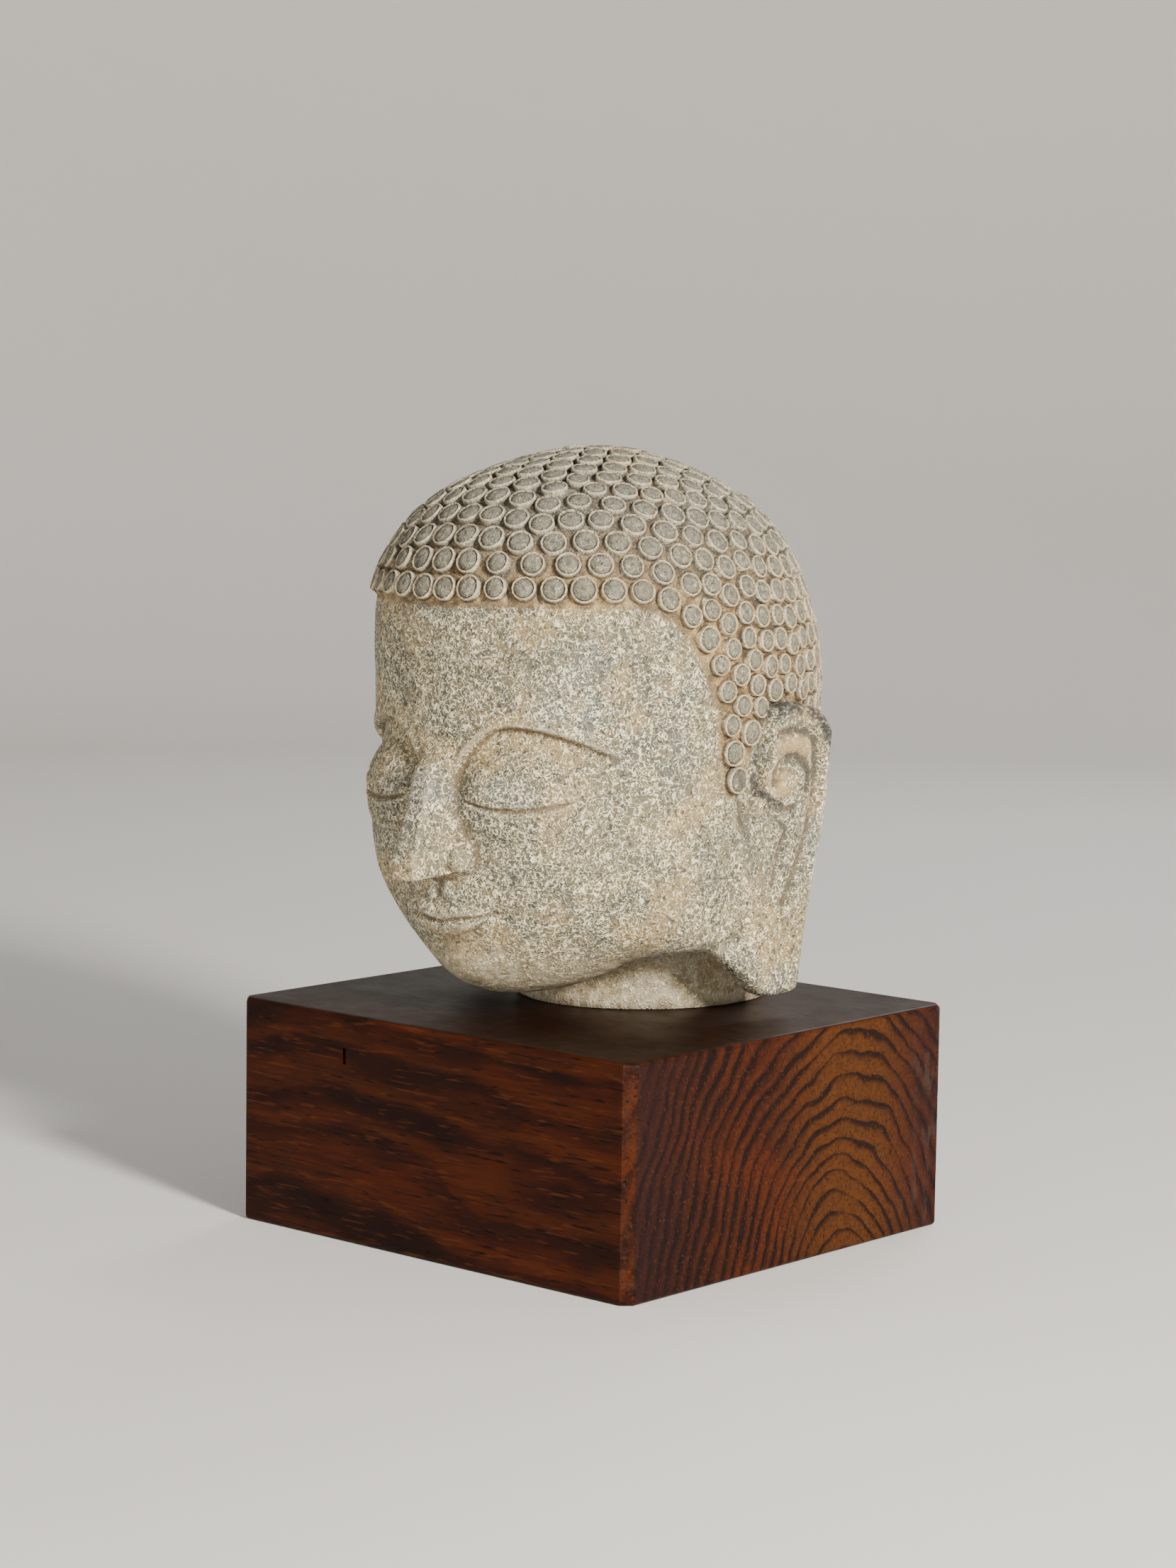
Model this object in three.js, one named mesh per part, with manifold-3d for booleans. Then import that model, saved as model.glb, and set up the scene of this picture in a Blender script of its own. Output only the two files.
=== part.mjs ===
// Carved stone head with knobbed hair and long ears, cut flat at the neck, standing on a solid wooden block.
// Millimetres, +Z up, the face looks along -Y, and the origin is the centre of the block's underside.
import * as THREE from "three";
import { ConvexHull } from "three/addons/math/ConvexHull.js";
import { mergeVertices } from "three/addons/utils/BufferGeometryUtils.js";
import Module from "manifold-3d";

// Driving dimensions of the block.
const BLOCK_WIDTH = 230;
const BLOCK_DEPTH = 214;
const BLOCK_HEIGHT = 100;
const BLOCK_EDGE_ROUND = 2;
const BLOCK_CORNER_CHAMFER = 4.5;
const PEG_SLOT = { width: 2.2, height: 7, depth: 5, fromLeft: 66, fromTop: 15 };

// Driving dimensions of the head. All carving keeps its share of the head's height.
const HEAD_HEIGHT = 245.5;
const SEAT_GAP = 0.3;
const s = HEAD_HEIGHT / 245.5; // one millimetre of carving at the real height

// The ovoid of skull and face, in head heights above the neck's cut.
const SKULL = {
  widestHeight: 145 * s,
  crownHeight: 235.8 * s,
  halfWidth: 88.5 * s,
  halfDepth: 100.2 * s,
  centreY: -1.5 * s,
  leanForward: 5 * s,
  planRoundness: 2.15,
  domeRoundness: 2.5,
  cheekRoundness: 2.8,
  profileRoundness: 4,
};
const CROWN_RISE = { height: 5.6 * s, radius: 34 * s }; // low swelling at the top of the skull
const CHIN_BOTTOM = 9 * s;
const JAW_RISE = { height: 38 * s, frontY: -62 * s, backY: 60 * s };
const NECK = {
  halfWidth: 54.5 * s, frontDepth: 61 * s, rearDepth: 54 * s, centreX: -4 * s, centreY: 39.5 * s,
  flare: 0.03, crease: 2.5 * s,
};

// Fullness of the jaw in front of each lobe, as a rounded body beside the ovoid.
const FLANK = {
  x: 56 * s, y: -4 * s, z: 60 * s, halfX: 30 * s, halfY: 46 * s, halfZ: 32 * s, roundness: 4, blend: 14 * s,
};

// Hair: round knobs in rows above a hairline, given as [degrees from the face, height].
const CURL = {
  pitch: 11.9 * s,
  rowPitch: 10.6 * s,
  topRadius: 4.3 * s,
  footRadius: 6.2 * s,
  height: 2.9 * s,
  floor: 1.2 * s,
  topSides: 5,
};
const HAIRLINE = [
  [0, 179], [15, 180], [50, 180], [56, 178], [61, 174], [65, 168], [69, 159], [72, 149], [74.5, 137],
  [76, 120], [78, 105], [81, 98.5], [84, 99], [87, 109], [90, 122], [95, 136], [106, 139.5], [114, 133],
  [118, 114], [123, 99], [134, 94], [180, 94],
].map(([angle, height]) => [THREE.MathUtils.degToRad(angle), height * s]);
const CURL_SETTLING_STEPS = 60;

// Face, by the rule of three equal parts from hairline to chin; heights are above the neck's cut.
const FACE = {
  brow: {
    innerX: 8 * s, innerZ: 107 * s, peakX: 36 * s, peakZ: 129.5 * s, outerX: 77 * s, outerZ: 112 * s,
    depth: 4.2 * s, edge: 1.4 * s, fadeFrom: 3 * s, fadeTo: 26 * s, bead: 0.7 * s, beadHalf: 2.4 * s,
  },
  lid: { x: 37 * s, z: 100 * s, halfWidth: 29 * s, halfHeight: 19 * s, height: 5.2 * s },
  eye: {
    innerX: 15 * s, outerX: 61 * s, z: 98.5 * s, rise: 1.5 * s, dip: 4.2 * s, open: 2.5 * s,
    slit: 1.9 * s, edge: 0.5 * s, lowerLid: 0.8 * s, lowerLidHalf: 1.4 * s, under: 0.9 * s, underFade: 12 * s,
  },
  nose: {
    rootZ: 121 * s, tipZ: 73 * s, baseZ: 65.5 * s, baseCurve: 0.0086 / s, height: 21 * s,
    rootHalf: 5.5 * s, tipHalf: 9 * s, bulb: 1.6 * s, bulbHalf: 8 * s,
  },
  wing: { x: 14 * s, z: 73 * s, radius: 7 * s, height: 9 * s },
  mouth: {
    z: 48 * s, halfWidth: 25 * s, upper: 7.4 * s, lower: 8.4 * s, lift: 2.2 * s, fullness: 3.6 * s,
    groove: 2.2 * s, grooveHalf: 0.9 * s, bow: 0.8 * s, bowHalf: 4.5 * s,
  },
  muzzle: { z: 50 * s, height: 3.5 * s, halfWidth: 24 * s, halfHeight: 17 * s },
  fold: { z: 35.5 * s, depth: 2.6 * s, halfWidth: 17 * s, halfHeight: 5.5 * s },
  dimple: { x: 27 * s, z: 50.2 * s, depth: 1.6 * s, radius: 4.5 * s },
  chin: { z: 25 * s, height: 6.5 * s, halfWidth: 19 * s, halfHeight: 13 * s },
  cheek: { x: 50 * s, z: 70 * s, height: 4.2 * s, radius: 27 * s },
};

// Ears: a plate seen from the side, with its outline as [height, front y, rear y].
// Its carving follows paths of [y, height].
const scaled = (rows) => rows.map((row) => row.map((value) => value * s));
const EAR = {
  outline: scaled([
    [9, 17, 31], [11, 12, 35.5], [14, 8, 36.3], [22, -1, 36.5], [30, -9, 36.8], [42, -15, 37.2],
    [52, -18, 38], [63, -18, 38.8], [75, -13, 40.5], [84, -5, 41.5], [91, 1, 41.8], [100, 4.5, 42],
    [114, 5.5, 42], [124, 6.5, 41.9], [130, 8, 37.5], [134, 9.5, 33], [136.5, 14, 27], [137.3, 18, 23],
  ]),
  x: 95.6 * s,
  flare: 0.15,
  lean: 0.085,
  levelY: 20 * s,
  levelZ: 120 * s,
  thickness: 12 * s,
  sink: { depth: 8 * s, width: 18 * s, low: [24 * s, 38 * s], high: [78 * s, 96 * s] },
  rim: { width: 5.5 * s, height: 1.6 * s, from: 34 * s, to: 62 * s },
  fold: { depth: 2.6 * s, halfWidth: 2 * s, path: scaled([
    [13, 119], [18, 123.6], [25, 124.6], [31, 122.5], [34.6, 118], [36, 109.6], [36, 100], [34, 82],
    [28.6, 63.6], [24.3, 48],
  ]) },
  hollow: { depth: 5.5 * s, halfWidth: 3.4 * s, path: scaled([
    [22, 91.5], [15, 93.3], [10.5, 97], [10.5, 102], [13.5, 108], [19, 110.6], [25, 110], [30, 106.5],
    [32, 101],
  ]) },
  edgeRadius: 4.5 * s,
  rows: 18,
  outerShares: [0, 0.1, 0.26, 0.42, 0.58, 0.74, 0.89, 0.975, 1],
  innerShares: [0.9, 0.5, 0.1],
};

const COLOUR = {
  stone: { color: 0xa39c86, roughness: 0.95, metalness: 0 },
  wood: { color: 0x4a2415, roughness: 0.45, metalness: 0 },
};

const STAR = { y: 12 * s, z: 110 * s };
const STAR_CENTRE = new THREE.Vector3(0, STAR.y, STAR.z); // every point of the head can be seen from here
const SKIN_GRID = 14.6 * s; // spacing of the plain skin's corners
// Closer corners round nose and mouth, and along the carved lines.
const MASK = { halfWidth: 30 * s, low: 14 * s, high: 124 * s, grid: 6 * s, along: 4.8 * s };

const clamp = (value, low, high) => Math.min(high, Math.max(low, value));
const ramp = (low, high, value) => {
  const t = clamp((value - low) / (high - low), 0, 1);
  return t * t * (3 - 2 * t);
};
const hump = (distance, radius) => Math.exp(-((distance / radius) ** 2));

// Straight-line interpolation in rows of [key, value, ...].
function lookUp(rows, key, column = 1) {
  const last = rows.length - 1;
  if (key <= rows[0][0]) return rows[0][column];
  if (key >= rows[last][0]) return rows[last][column];
  const i = rows.findIndex((row) => row[0] >= key);
  const share = (key - rows[i - 1][0]) / (rows[i][0] - rows[i - 1][0]);
  return rows[i - 1][column] + share * (rows[i][column] - rows[i - 1][column]);
}

// True inside the smooth ovoid of skull and face.
function insideOvoid(x, y, z) {
  const centreY = SKULL.centreY - SKULL.leanForward * ramp(SKULL.widestHeight, SKULL.widestHeight * 1.3, z);
  const plan = (share, halfX, halfY) =>
    (Math.abs(x) / halfX) ** share + (Math.abs(y - centreY) / halfY) ** share < 1;
  if (z >= SKULL.widestHeight) {
    const rise = CROWN_RISE.height * hump(Math.hypot(x, y), CROWN_RISE.radius);
    const up = (z - rise - SKULL.widestHeight) / (SKULL.crownHeight - SKULL.widestHeight);
    if (up >= 1) return false;
    const k = (1 - Math.max(up, 0) ** SKULL.domeRoundness) ** (1 / SKULL.domeRoundness);
    return plan(SKULL.planRoundness, SKULL.halfWidth * k, SKULL.halfDepth * k);
  }
  const bottom = CHIN_BOTTOM + JAW_RISE.height * ramp(JAW_RISE.frontY, JAW_RISE.backY, y);
  const down = (SKULL.widestHeight - z) / (SKULL.widestHeight - bottom);
  if (down >= 1) return false;
  const across = (1 - down ** SKULL.cheekRoundness) ** (1 / SKULL.cheekRoundness);
  const deep = (1 - down ** SKULL.profileRoundness) ** (1 / SKULL.profileRoundness);
  return plan(SKULL.planRoundness, SKULL.halfWidth * across, SKULL.halfDepth * deep);
}

// Distance from the star centre, along a direction, at which a test of "inside" fails.
function exitDistance(direction, inside, start = 0) {
  let near = start;
  let far = 2 * HEAD_HEIGHT;
  for (let i = 0; i < 32; i++) {
    const middle = (near + far) / 2;
    const x = STAR_CENTRE.x + direction.x * middle;
    const y = STAR_CENTRE.y + direction.y * middle;
    const z = STAR_CENTRE.z + direction.z * middle;
    if (inside(x, y, z)) near = middle;
    else far = middle;
  }
  return (near + far) / 2;
}

function insideNeck(x, y, z) {
  const grow = NECK.flare * z;
  const depth = y < NECK.centreY ? NECK.frontDepth : NECK.rearDepth;
  const across = (x - NECK.centreX) / (NECK.halfWidth + grow);
  const deep = (y - NECK.centreY) / (depth + grow);
  return z > 0 && z < STAR_CENTRE.z && across ** 2 + deep ** 2 < 1;
}

function insideFlank(x, y, z) {
  const across = ((Math.abs(x) - FLANK.x) / FLANK.halfX) ** 2 + ((y - FLANK.y) / FLANK.halfY) ** 2;
  return across + Math.abs((z - FLANK.z) / FLANK.halfZ) ** FLANK.roundness < 1;
}

// Exit distance of the jaw's fullness, or nothing where the direction misses it.
function flankDistance(direction) {
  const toFlank = new THREE.Vector3(Math.sign(direction.x) * FLANK.x, FLANK.y, FLANK.z).sub(STAR_CENTRE);
  const size = new THREE.Vector3(FLANK.halfX, FLANK.halfY, FLANK.halfZ);
  const scaledWay = direction.clone().divide(size);
  const nearest = toFlank.divide(size).dot(scaledWay) / scaledWay.lengthSq();
  const middle = STAR_CENTRE.clone().addScaledVector(direction, nearest);
  return insideFlank(middle.x, middle.y, middle.z) ? exitDistance(direction, insideFlank, nearest) : 0;
}

// Larger of two distances, rounded where they cross.
function blendedLarger(a, b, radius) {
  const h = Math.max(radius - Math.abs(a - b), 0) / radius;
  return Math.max(a, b) + (h * h * radius) / 4;
}

// The smooth form below the carving, as a point on the ray from the star centre.
function formPoint(direction) {
  let reach = exitDistance(direction, insideOvoid);
  if (direction.z < 0) {
    reach = blendedLarger(reach, flankDistance(direction), FLANK.blend);
    const neck = exitDistance(direction, insideNeck);
    const floor = -STAR_CENTRE.z / direction.z;
    reach = Math.min(blendedLarger(reach, neck, NECK.crease), floor);
  }
  return STAR_CENTRE.clone().addScaledVector(direction, reach);
}

const towards = (point) => point.clone().sub(STAR_CENTRE).normalize();

function formNormal(direction) {
  const side = new THREE.Vector3(direction.y, -direction.x, 0);
  if (side.lengthSq() < 1e-9) side.set(1, 0, 0);
  side.normalize();
  const up = new THREE.Vector3().crossVectors(side, direction);
  const step = 0.01;
  const here = formPoint(direction);
  const a = formPoint(direction.clone().addScaledVector(side, step).normalize()).sub(here);
  const b = formPoint(direction.clone().addScaledVector(up, step).normalize()).sub(here);
  return new THREE.Vector3().crossVectors(b, a).normalize();
}

// Angle from the face, 0 at the front and pi at the back, the same on both sides.
const angleFromFace = (point) => Math.atan2(Math.abs(point.x), -point.y);
const heightAboveHairline = (point) => point.z - lookUp(HAIRLINE, angleFromFace(point));

// A point on the form at an angle from the face, a side and a height.
function formAt(angle, height) {
  const reach = 1.2 * SKULL.halfDepth;
  const point = new THREE.Vector3(Math.sin(angle) * reach, -Math.cos(angle) * reach, height);
  for (let i = 0; i < 7; i++) {
    const found = formPoint(towards(point));
    const flat = Math.hypot(found.x, found.y);
    point.set(Math.sin(angle) * flat, -Math.cos(angle) * flat, height);
  }
  return formPoint(towards(point));
}

// The first row of knobs, along both halves of the hairline, set in by a knob's own radius.
function hairlineRow() {
  const path = [];
  const steps = 1440;
  for (let i = 0; i < steps; i++) {
    const angle = -Math.PI + (2 * Math.PI * i) / steps;
    path.push(formAt(angle, lookUp(HAIRLINE, Math.abs(angle))));
  }
  const row = [];
  path.forEach((point, i) => {
    const along = path[(i + 1) % steps].clone().sub(path[(i + steps - 1) % steps]).normalize();
    const inward = along.cross(formNormal(towards(point))).normalize();
    if (inward.z < 0) inward.negate();
    const centre = formPoint(towards(point.clone().addScaledVector(inward, CURL.footRadius)));
    const crowded = row.some((other) => other.distanceTo(centre) < CURL.pitch);
    if (!crowded && heightAboveHairline(centre) > CURL.footRadius * 0.5) row.push(centre);
  });
  return row;
}

// Rings of knobs round the crown, which then push each other apart until they lie evenly.
function curlCentres() {
  const fixed = hairlineRow();
  const crown = formPoint(new THREE.Vector3(0, -0.03, 1).normalize());
  const free = [crown];
  const dome = SKULL.halfDepth;
  for (let ring = 1; ring < 24; ring++) {
    const arc = ring * CURL.rowPitch;
    const tilt = arc / dome;
    const around = tilt < Math.PI / 2 ? dome * Math.sin(tilt) : dome;
    const count = Math.round((2 * Math.PI * around) / CURL.pitch);
    for (let i = 0; i < count; i++) {
      const angle = (2 * Math.PI * (i + (ring % 2) / 2)) / count;
      const height = SKULL.widestHeight + dome * Math.cos(Math.min(tilt, Math.PI / 2))
        - Math.max(0, arc - (dome * Math.PI) / 2);
      const target = new THREE.Vector3(Math.sin(angle) * around, -Math.cos(angle) * around, height);
      const point = formPoint(towards(target));
      const clear = fixed.every((other) => other.distanceTo(point) > CURL.pitch * 0.8);
      if (clear && heightAboveHairline(point) > CURL.footRadius) free.push(point);
    }
  }
  const reach = CURL.pitch * 1.25;
  for (let step = 0; step < CURL_SETTLING_STEPS; step++) {
    const all = [...fixed, ...free];
    const pushes = free.map((point) => {
      const push = new THREE.Vector3();
      for (const other of all) {
        const away = point.clone().sub(other);
        const distance = away.length();
        if (distance === 0 || distance > reach) continue;
        push.addScaledVector(away, (0.35 * (reach - distance)) / distance);
      }
      return push;
    });
    free.forEach((point, i) => point.copy(formPoint(towards(point.clone().add(pushes[i])))));
  }
  return [...fixed, ...free];
}

// Height of the brow's edge and of the closed eye's line above the neck's cut, at a distance from the middle.
function browHeight(x) {
  const { peakX, peakZ, innerX, innerZ, outerX, outerZ } = FACE.brow;
  if (x < peakX) return peakZ - (peakZ - innerZ) * ((peakX - x) / (peakX - innerX)) ** 2.2;
  return peakZ - (peakZ - outerZ) * ((x - peakX) / (outerX - peakX)) ** 2;
}
function eyeHeight(x) {
  const { innerX, outerX, z, rise, dip } = FACE.eye;
  const t = clamp((x - innerX) / (outerX - innerX), 0, 1);
  return z + rise * t - dip * Math.sin(Math.PI * t) * (1 - 0.45 * t);
}
const eyeShare = (x) => clamp((x - FACE.eye.innerX) / (FACE.eye.outerX - FACE.eye.innerX), 0, 1);
const eyeOpening = (x) => FACE.eye.open * Math.sin(Math.PI * eyeShare(x)) ** 0.8;
const noseBase = (x) => FACE.nose.baseZ + FACE.nose.baseCurve * x * x;
const mouthHeight = (x) => {
  const { z, lift, halfWidth, bow, bowHalf } = FACE.mouth;
  return z + lift * (x / halfWidth) ** 2 - bow * hump(x, bowHalf);
};
const lipShare = (x, width) => Math.max(0.001, 1 - (x / (width * FACE.mouth.halfWidth)) ** 2);
const upperLip = (x) => FACE.mouth.upper * lipShare(x, 1) ** 0.75 * (1 - 0.2 * hump(x, FACE.mouth.bowHalf));
const lowerLip = (x) => FACE.mouth.lower * lipShare(x, 0.92) ** 0.8;

function browRelief(x, z) {
  const { innerX, outerX, depth, edge, fadeFrom, fadeTo, bead, beadHalf } = FACE.brow;
  const below = browHeight(x) - z;
  const span = ramp(innerX * 0.5, innerX * 1.4, x) * (1 - ramp(outerX * 0.8, outerX, x));
  const step = -depth * ramp(0, edge, below) * (1 - ramp(fadeFrom, fadeTo, below));
  return span * (step + bead * hump(below + edge, beadHalf));
}

function eyeRelief(x, z) {
  const { lid, eye } = FACE;
  const q = ((x - lid.x) / lid.halfWidth) ** 2 + ((z - lid.z) / lid.halfHeight) ** 2;
  const ball = lid.height * Math.max(0, 1 - q) ** 0.8;
  const above = z - eyeHeight(x);
  const gap = eyeOpening(x);
  const end = 0.1 * (eye.outerX - eye.innerX);
  const span = ramp(eye.innerX - end / 2, eye.innerX + end, x) * (1 - ramp(eye.outerX - end, eye.outerX, x));
  const underUpper = 1 - ramp(-eye.edge, eye.edge, above);
  const onLower = 1 - ramp(-gap - eye.edge, -gap + eye.edge, above);
  const bead = eye.lowerLid * hump(above + gap + eye.lowerLidHalf, eye.lowerLidHalf);
  const bag = (bead - eye.under) * onLower * ramp(-eye.underFade, -gap, above);
  return ball + span * (bag - eye.slit * underUpper * (1 - onLower));
}

function noseHeight(x, z) {
  const { nose, wing } = FACE;
  const t = clamp((nose.rootZ - z) / (nose.rootZ - nose.tipZ), 0, 1.2);
  const half = nose.rootHalf + (nose.tipHalf - nose.rootHalf) * t;
  const ridge = nose.height * (0.35 * ramp(0, 0.3, t) + 0.65 * Math.min(t, 1) ** 1.3);
  const flank = 1 - ramp(half * 0.45, half * 1.95, x);
  const bulb = nose.bulb * hump(Math.hypot(x, z - nose.tipZ), nose.bulbHalf);
  const spread = Math.hypot((x - wing.x) / wing.radius, (z - wing.z) / (1.15 * wing.radius));
  const side = wing.height * Math.max(0, 1 - spread ** 2) ** 0.55;
  return Math.max(ridge * flank + bulb, side);
}
const noseRelief = (x, z) => {
  const edge = 0.1 * FACE.nose.height;
  return ramp(noseBase(x) - edge, noseBase(x) + edge, z) * noseHeight(x, z);
};

function mouthRelief(x, z) {
  const { mouth, muzzle, fold, dimple, chin } = FACE;
  const above = (z - mouthHeight(x)) / upperLip(x);
  const below = (mouthHeight(x) - z) / lowerLip(x);
  const upper = above < 1 ? 0.75 * (1 - above ** 2) ** 0.8 + 0.25 * (1 - above) : 0;
  const lower = below < 1 ? Math.sin(Math.PI * (0.12 + 0.88 * below)) ** 0.7 : 0;
  const lips = mouth.fullness * (above >= 0 ? upper : lower) * Math.sqrt(lipShare(x, 1));
  const seam = 1 - ramp(0.92 * mouth.halfWidth, 1.12 * mouth.halfWidth, x);
  const groove = mouth.groove * hump(z - mouthHeight(x), mouth.grooveHalf) * seam;
  const swell = ({ height, halfWidth, halfHeight, z: level }) =>
    height * hump(x, halfWidth) * hump(z - level, halfHeight);
  const underLip = swell({ ...fold, height: -fold.depth });
  const corner = dimple.depth * hump(Math.hypot(x - dimple.x, z - dimple.z), dimple.radius);
  return lips + swell(muzzle) + swell(chin) + underLip - groove - corner;
}

function faceRelief(point) {
  const front = 1 - ramp(-0.45 * SKULL.halfDepth, -0.2 * SKULL.halfDepth, point.y);
  if (front === 0) return 0;
  const x = Math.abs(point.x);
  const z = point.z;
  const { cheek } = FACE;
  const full = cheek.height * hump(x - cheek.x, cheek.radius) * hump(z - cheek.z, cheek.radius);
  return front * (full + browRelief(x, z) + eyeRelief(x, z) + noseRelief(x, z) + mouthRelief(x, z));
}

// The pits between neighbouring knobs, one in the middle of each three that touch.
function pitDirections(curls) {
  const found = [];
  for (const triangle of hullTriangles(curls.map(towards))) {
    const [a, b, c] = triangle.map((i) => curls[i]);
    const longest = Math.max(a.distanceTo(b), b.distanceTo(c), c.distanceTo(a));
    if (longest < CURL.pitch * 1.7) found.push(towards(a.clone().add(b).add(c).divideScalar(3)));
  }
  return found;
}

function hairEdgeDirections() {
  const found = [];
  const steps = 120;
  for (let i = 0; i < steps; i++) {
    const angle = -Math.PI + (2 * Math.PI * (i + 0.5)) / steps;
    found.push(towards(formAt(angle, lookUp(HAIRLINE, Math.abs(angle)) - 1.2 * s)));
  }
  return found;
}

// Rows of points beside a carved line, given as height over distance from the middle.
function linePoints(from, to, height, offsets) {
  const found = [];
  const count = Math.ceil((to - from) / MASK.along);
  for (let i = 0; i <= count; i++) {
    const x = from + ((to - from) * i) / count;
    for (const offset of offsets) found.push([x, height(x) + offset]);
  }
  return found;
}

function faceLines() {
  const { brow, eye, nose, mouth, wing } = FACE;
  const lines = [
    ...linePoints(brow.innerX, brow.outerX * 0.92, browHeight, [0.6 * s, -1.9 * s]),
    ...linePoints(eye.innerX, eye.outerX, eyeHeight, [1 * s, -1.3 * s]),
    ...linePoints(eye.innerX * 1.2, eye.outerX * 0.95, (x) => eyeHeight(x) - eyeOpening(x), [-1.6 * s]),
    ...linePoints(0, mouth.halfWidth, mouthHeight, [2.2 * s, 0, -2.4 * s]),
    ...linePoints(0, mouth.halfWidth * 0.8, (x) => mouthHeight(x) + upperLip(x), [0]),
    ...linePoints(0, mouth.halfWidth * 0.7, (x) => mouthHeight(x) - lowerLip(x), [0, -4.5 * s]),
    ...linePoints(0, wing.x + wing.radius, noseBase, [-1.8 * s, 2.7 * s]),
    ...linePoints(0, wing.x + wing.radius * 0.6, () => wing.z, [0, 4 * s]),
  ];
  for (let z = wing.z + MASK.grid * 1.5; z < nose.rootZ; z += MASK.grid) {
    const t = (nose.rootZ - z) / (nose.rootZ - nose.tipZ);
    const half = nose.rootHalf + (nose.tipHalf - nose.rootHalf) * t;
    lines.push([half * 0.5, z], [half * 1.9, z]);
  }
  return lines;
}

// The front of the form at a distance from the middle plane and a height.
function formInFront(x, z) {
  let y = -SKULL.halfDepth;
  for (let i = 0; i < 12; i++) {
    const found = formPoint(towards(new THREE.Vector3(x, y, z)));
    y = found.y - (found.z - z) * 0.2;
  }
  return towards(new THREE.Vector3(x, y, z));
}

function neckDirections() {
  const found = [];
  const around = 40;
  for (let i = 0; i < around; i++) {
    const turn = (2 * Math.PI * (i + 0.3)) / around;
    const depth = Math.cos(turn) < 0 ? NECK.frontDepth : NECK.rearDepth;
    const onWall = (z) => {
      const grow = NECK.flare * z;
      return towards(new THREE.Vector3(
        NECK.centreX + (NECK.halfWidth + grow) * Math.sin(turn),
        NECK.centreY + (depth + grow) * Math.cos(turn), z));
    };
    found.push(onWall(0));
    let low = 0;
    let high = 0.9 * STAR_CENTRE.z;
    for (let k = 0; k < 24; k++) {
      const middle = (low + high) / 2;
      const direction = onWall(middle);
      if (exitDistance(direction, insideOvoid) > exitDistance(direction, insideNeck)) high = middle;
      else low = middle;
    }
    if (low > 2 * s) found.push(onWall(low));
  }
  return found;
}

// A spiral of evenly spread directions, which covers the whole head.
function spiralDirections(spacing) {
  const count = Math.round((4 * Math.PI * SKULL.halfDepth ** 2) / spacing ** 2);
  const golden = Math.PI * (3 - Math.sqrt(5));
  return Array.from({ length: count }, (_, i) => {
    const z = 1 - (2 * (i + 0.5)) / count;
    const r = Math.sqrt(1 - z * z);
    return new THREE.Vector3(r * Math.cos(i * golden), r * Math.sin(i * golden), z);
  });
}

// Triangles of the convex hull of points on a sphere: the best-shaped mesh that joins them.
function hullTriangles(directions) {
  const points = directions.map((direction, i) => Object.assign(direction.clone(), { index: i }));
  const hull = new ConvexHull().setFromPoints(points);
  return hull.faces.map((face) => {
    const corners = [];
    let edge = face.edge;
    do {
      corners.push(edge.head().point.index);
      edge = edge.next;
    } while (edge !== face.edge);
    return corners;
  });
}

// All sample directions, the knobs' own centres first, and the point of the plain form on each.
function headSamples(curls) {
  const nearestCurl = (point) => Math.min(...curls.map((curl) => curl.distanceTo(point)));
  const inHair = (point) =>
    heightAboveHairline(point) > -2.5 * s || nearestCurl(point) < CURL.footRadius * 1.3;
  const samples = [];
  const add = (directions, spacing = 0, test = () => true) => {
    for (const direction of directions) {
      const point = formPoint(direction);
      if (!test(point)) continue;
      const clear = samples.every((other) => other.point.distanceTo(point) > spacing);
      if (clear) samples.push({ direction, point });
    }
  };
  add(curls.map(towards));
  add(pitDirections(curls));
  add(neckDirections());
  add(hairEdgeDirections(), 3.4 * s, (point) => nearestCurl(point) > CURL.footRadius);
  const open = (point) => !inHair(point) && point.z > 0.5 * s;
  add(faceLines().flatMap(([x, z]) => [formInFront(x, z), formInFront(-x, z)]), 2 * s, open);
  const isMask = ({ x, y, z }) => Math.abs(x) < MASK.halfWidth && y < 0 && z > MASK.low && z < MASK.high;
  add(spiralDirections(MASK.grid), 3.6 * s, (point) => open(point) && isMask(point));
  add(spiralDirections(SKIN_GRID), 6.2 * s, (point) => open(point) && !isMask(point));
  return samples;
}

// Triangles over all samples. Where two knobs would join with no pit between them, one is set there.
function joinedSamples(curls) {
  const samples = headSamples(curls);
  for (;;) {
    const triangles = hullTriangles(samples.map(({ direction }) => direction));
    const missing = triangles
      .flatMap(([a, b, c]) => [[a, b], [b, c], [c, a]])
      .filter(([a, b]) => a < b && b < curls.length);
    if (missing.length === 0) return { samples, triangles };
    for (const [a, b] of missing) {
      const direction = samples[a].direction.clone().add(samples[b].direction).normalize();
      samples.push({ direction, point: formPoint(direction) });
    }
  }
}

// The corners round one vertex, in order, and the triangles between them.
function ringRound(centre, fan) {
  const next = new Map(fan.map((triangle) => {
    const i = triangle.indexOf(centre);
    return [triangle[(i + 1) % 3], triangle[(i + 2) % 3]];
  }));
  const ring = [next.keys().next().value];
  while (ring.length < next.size) ring.push(next.get(ring.at(-1)));
  return ring;
}

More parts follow.
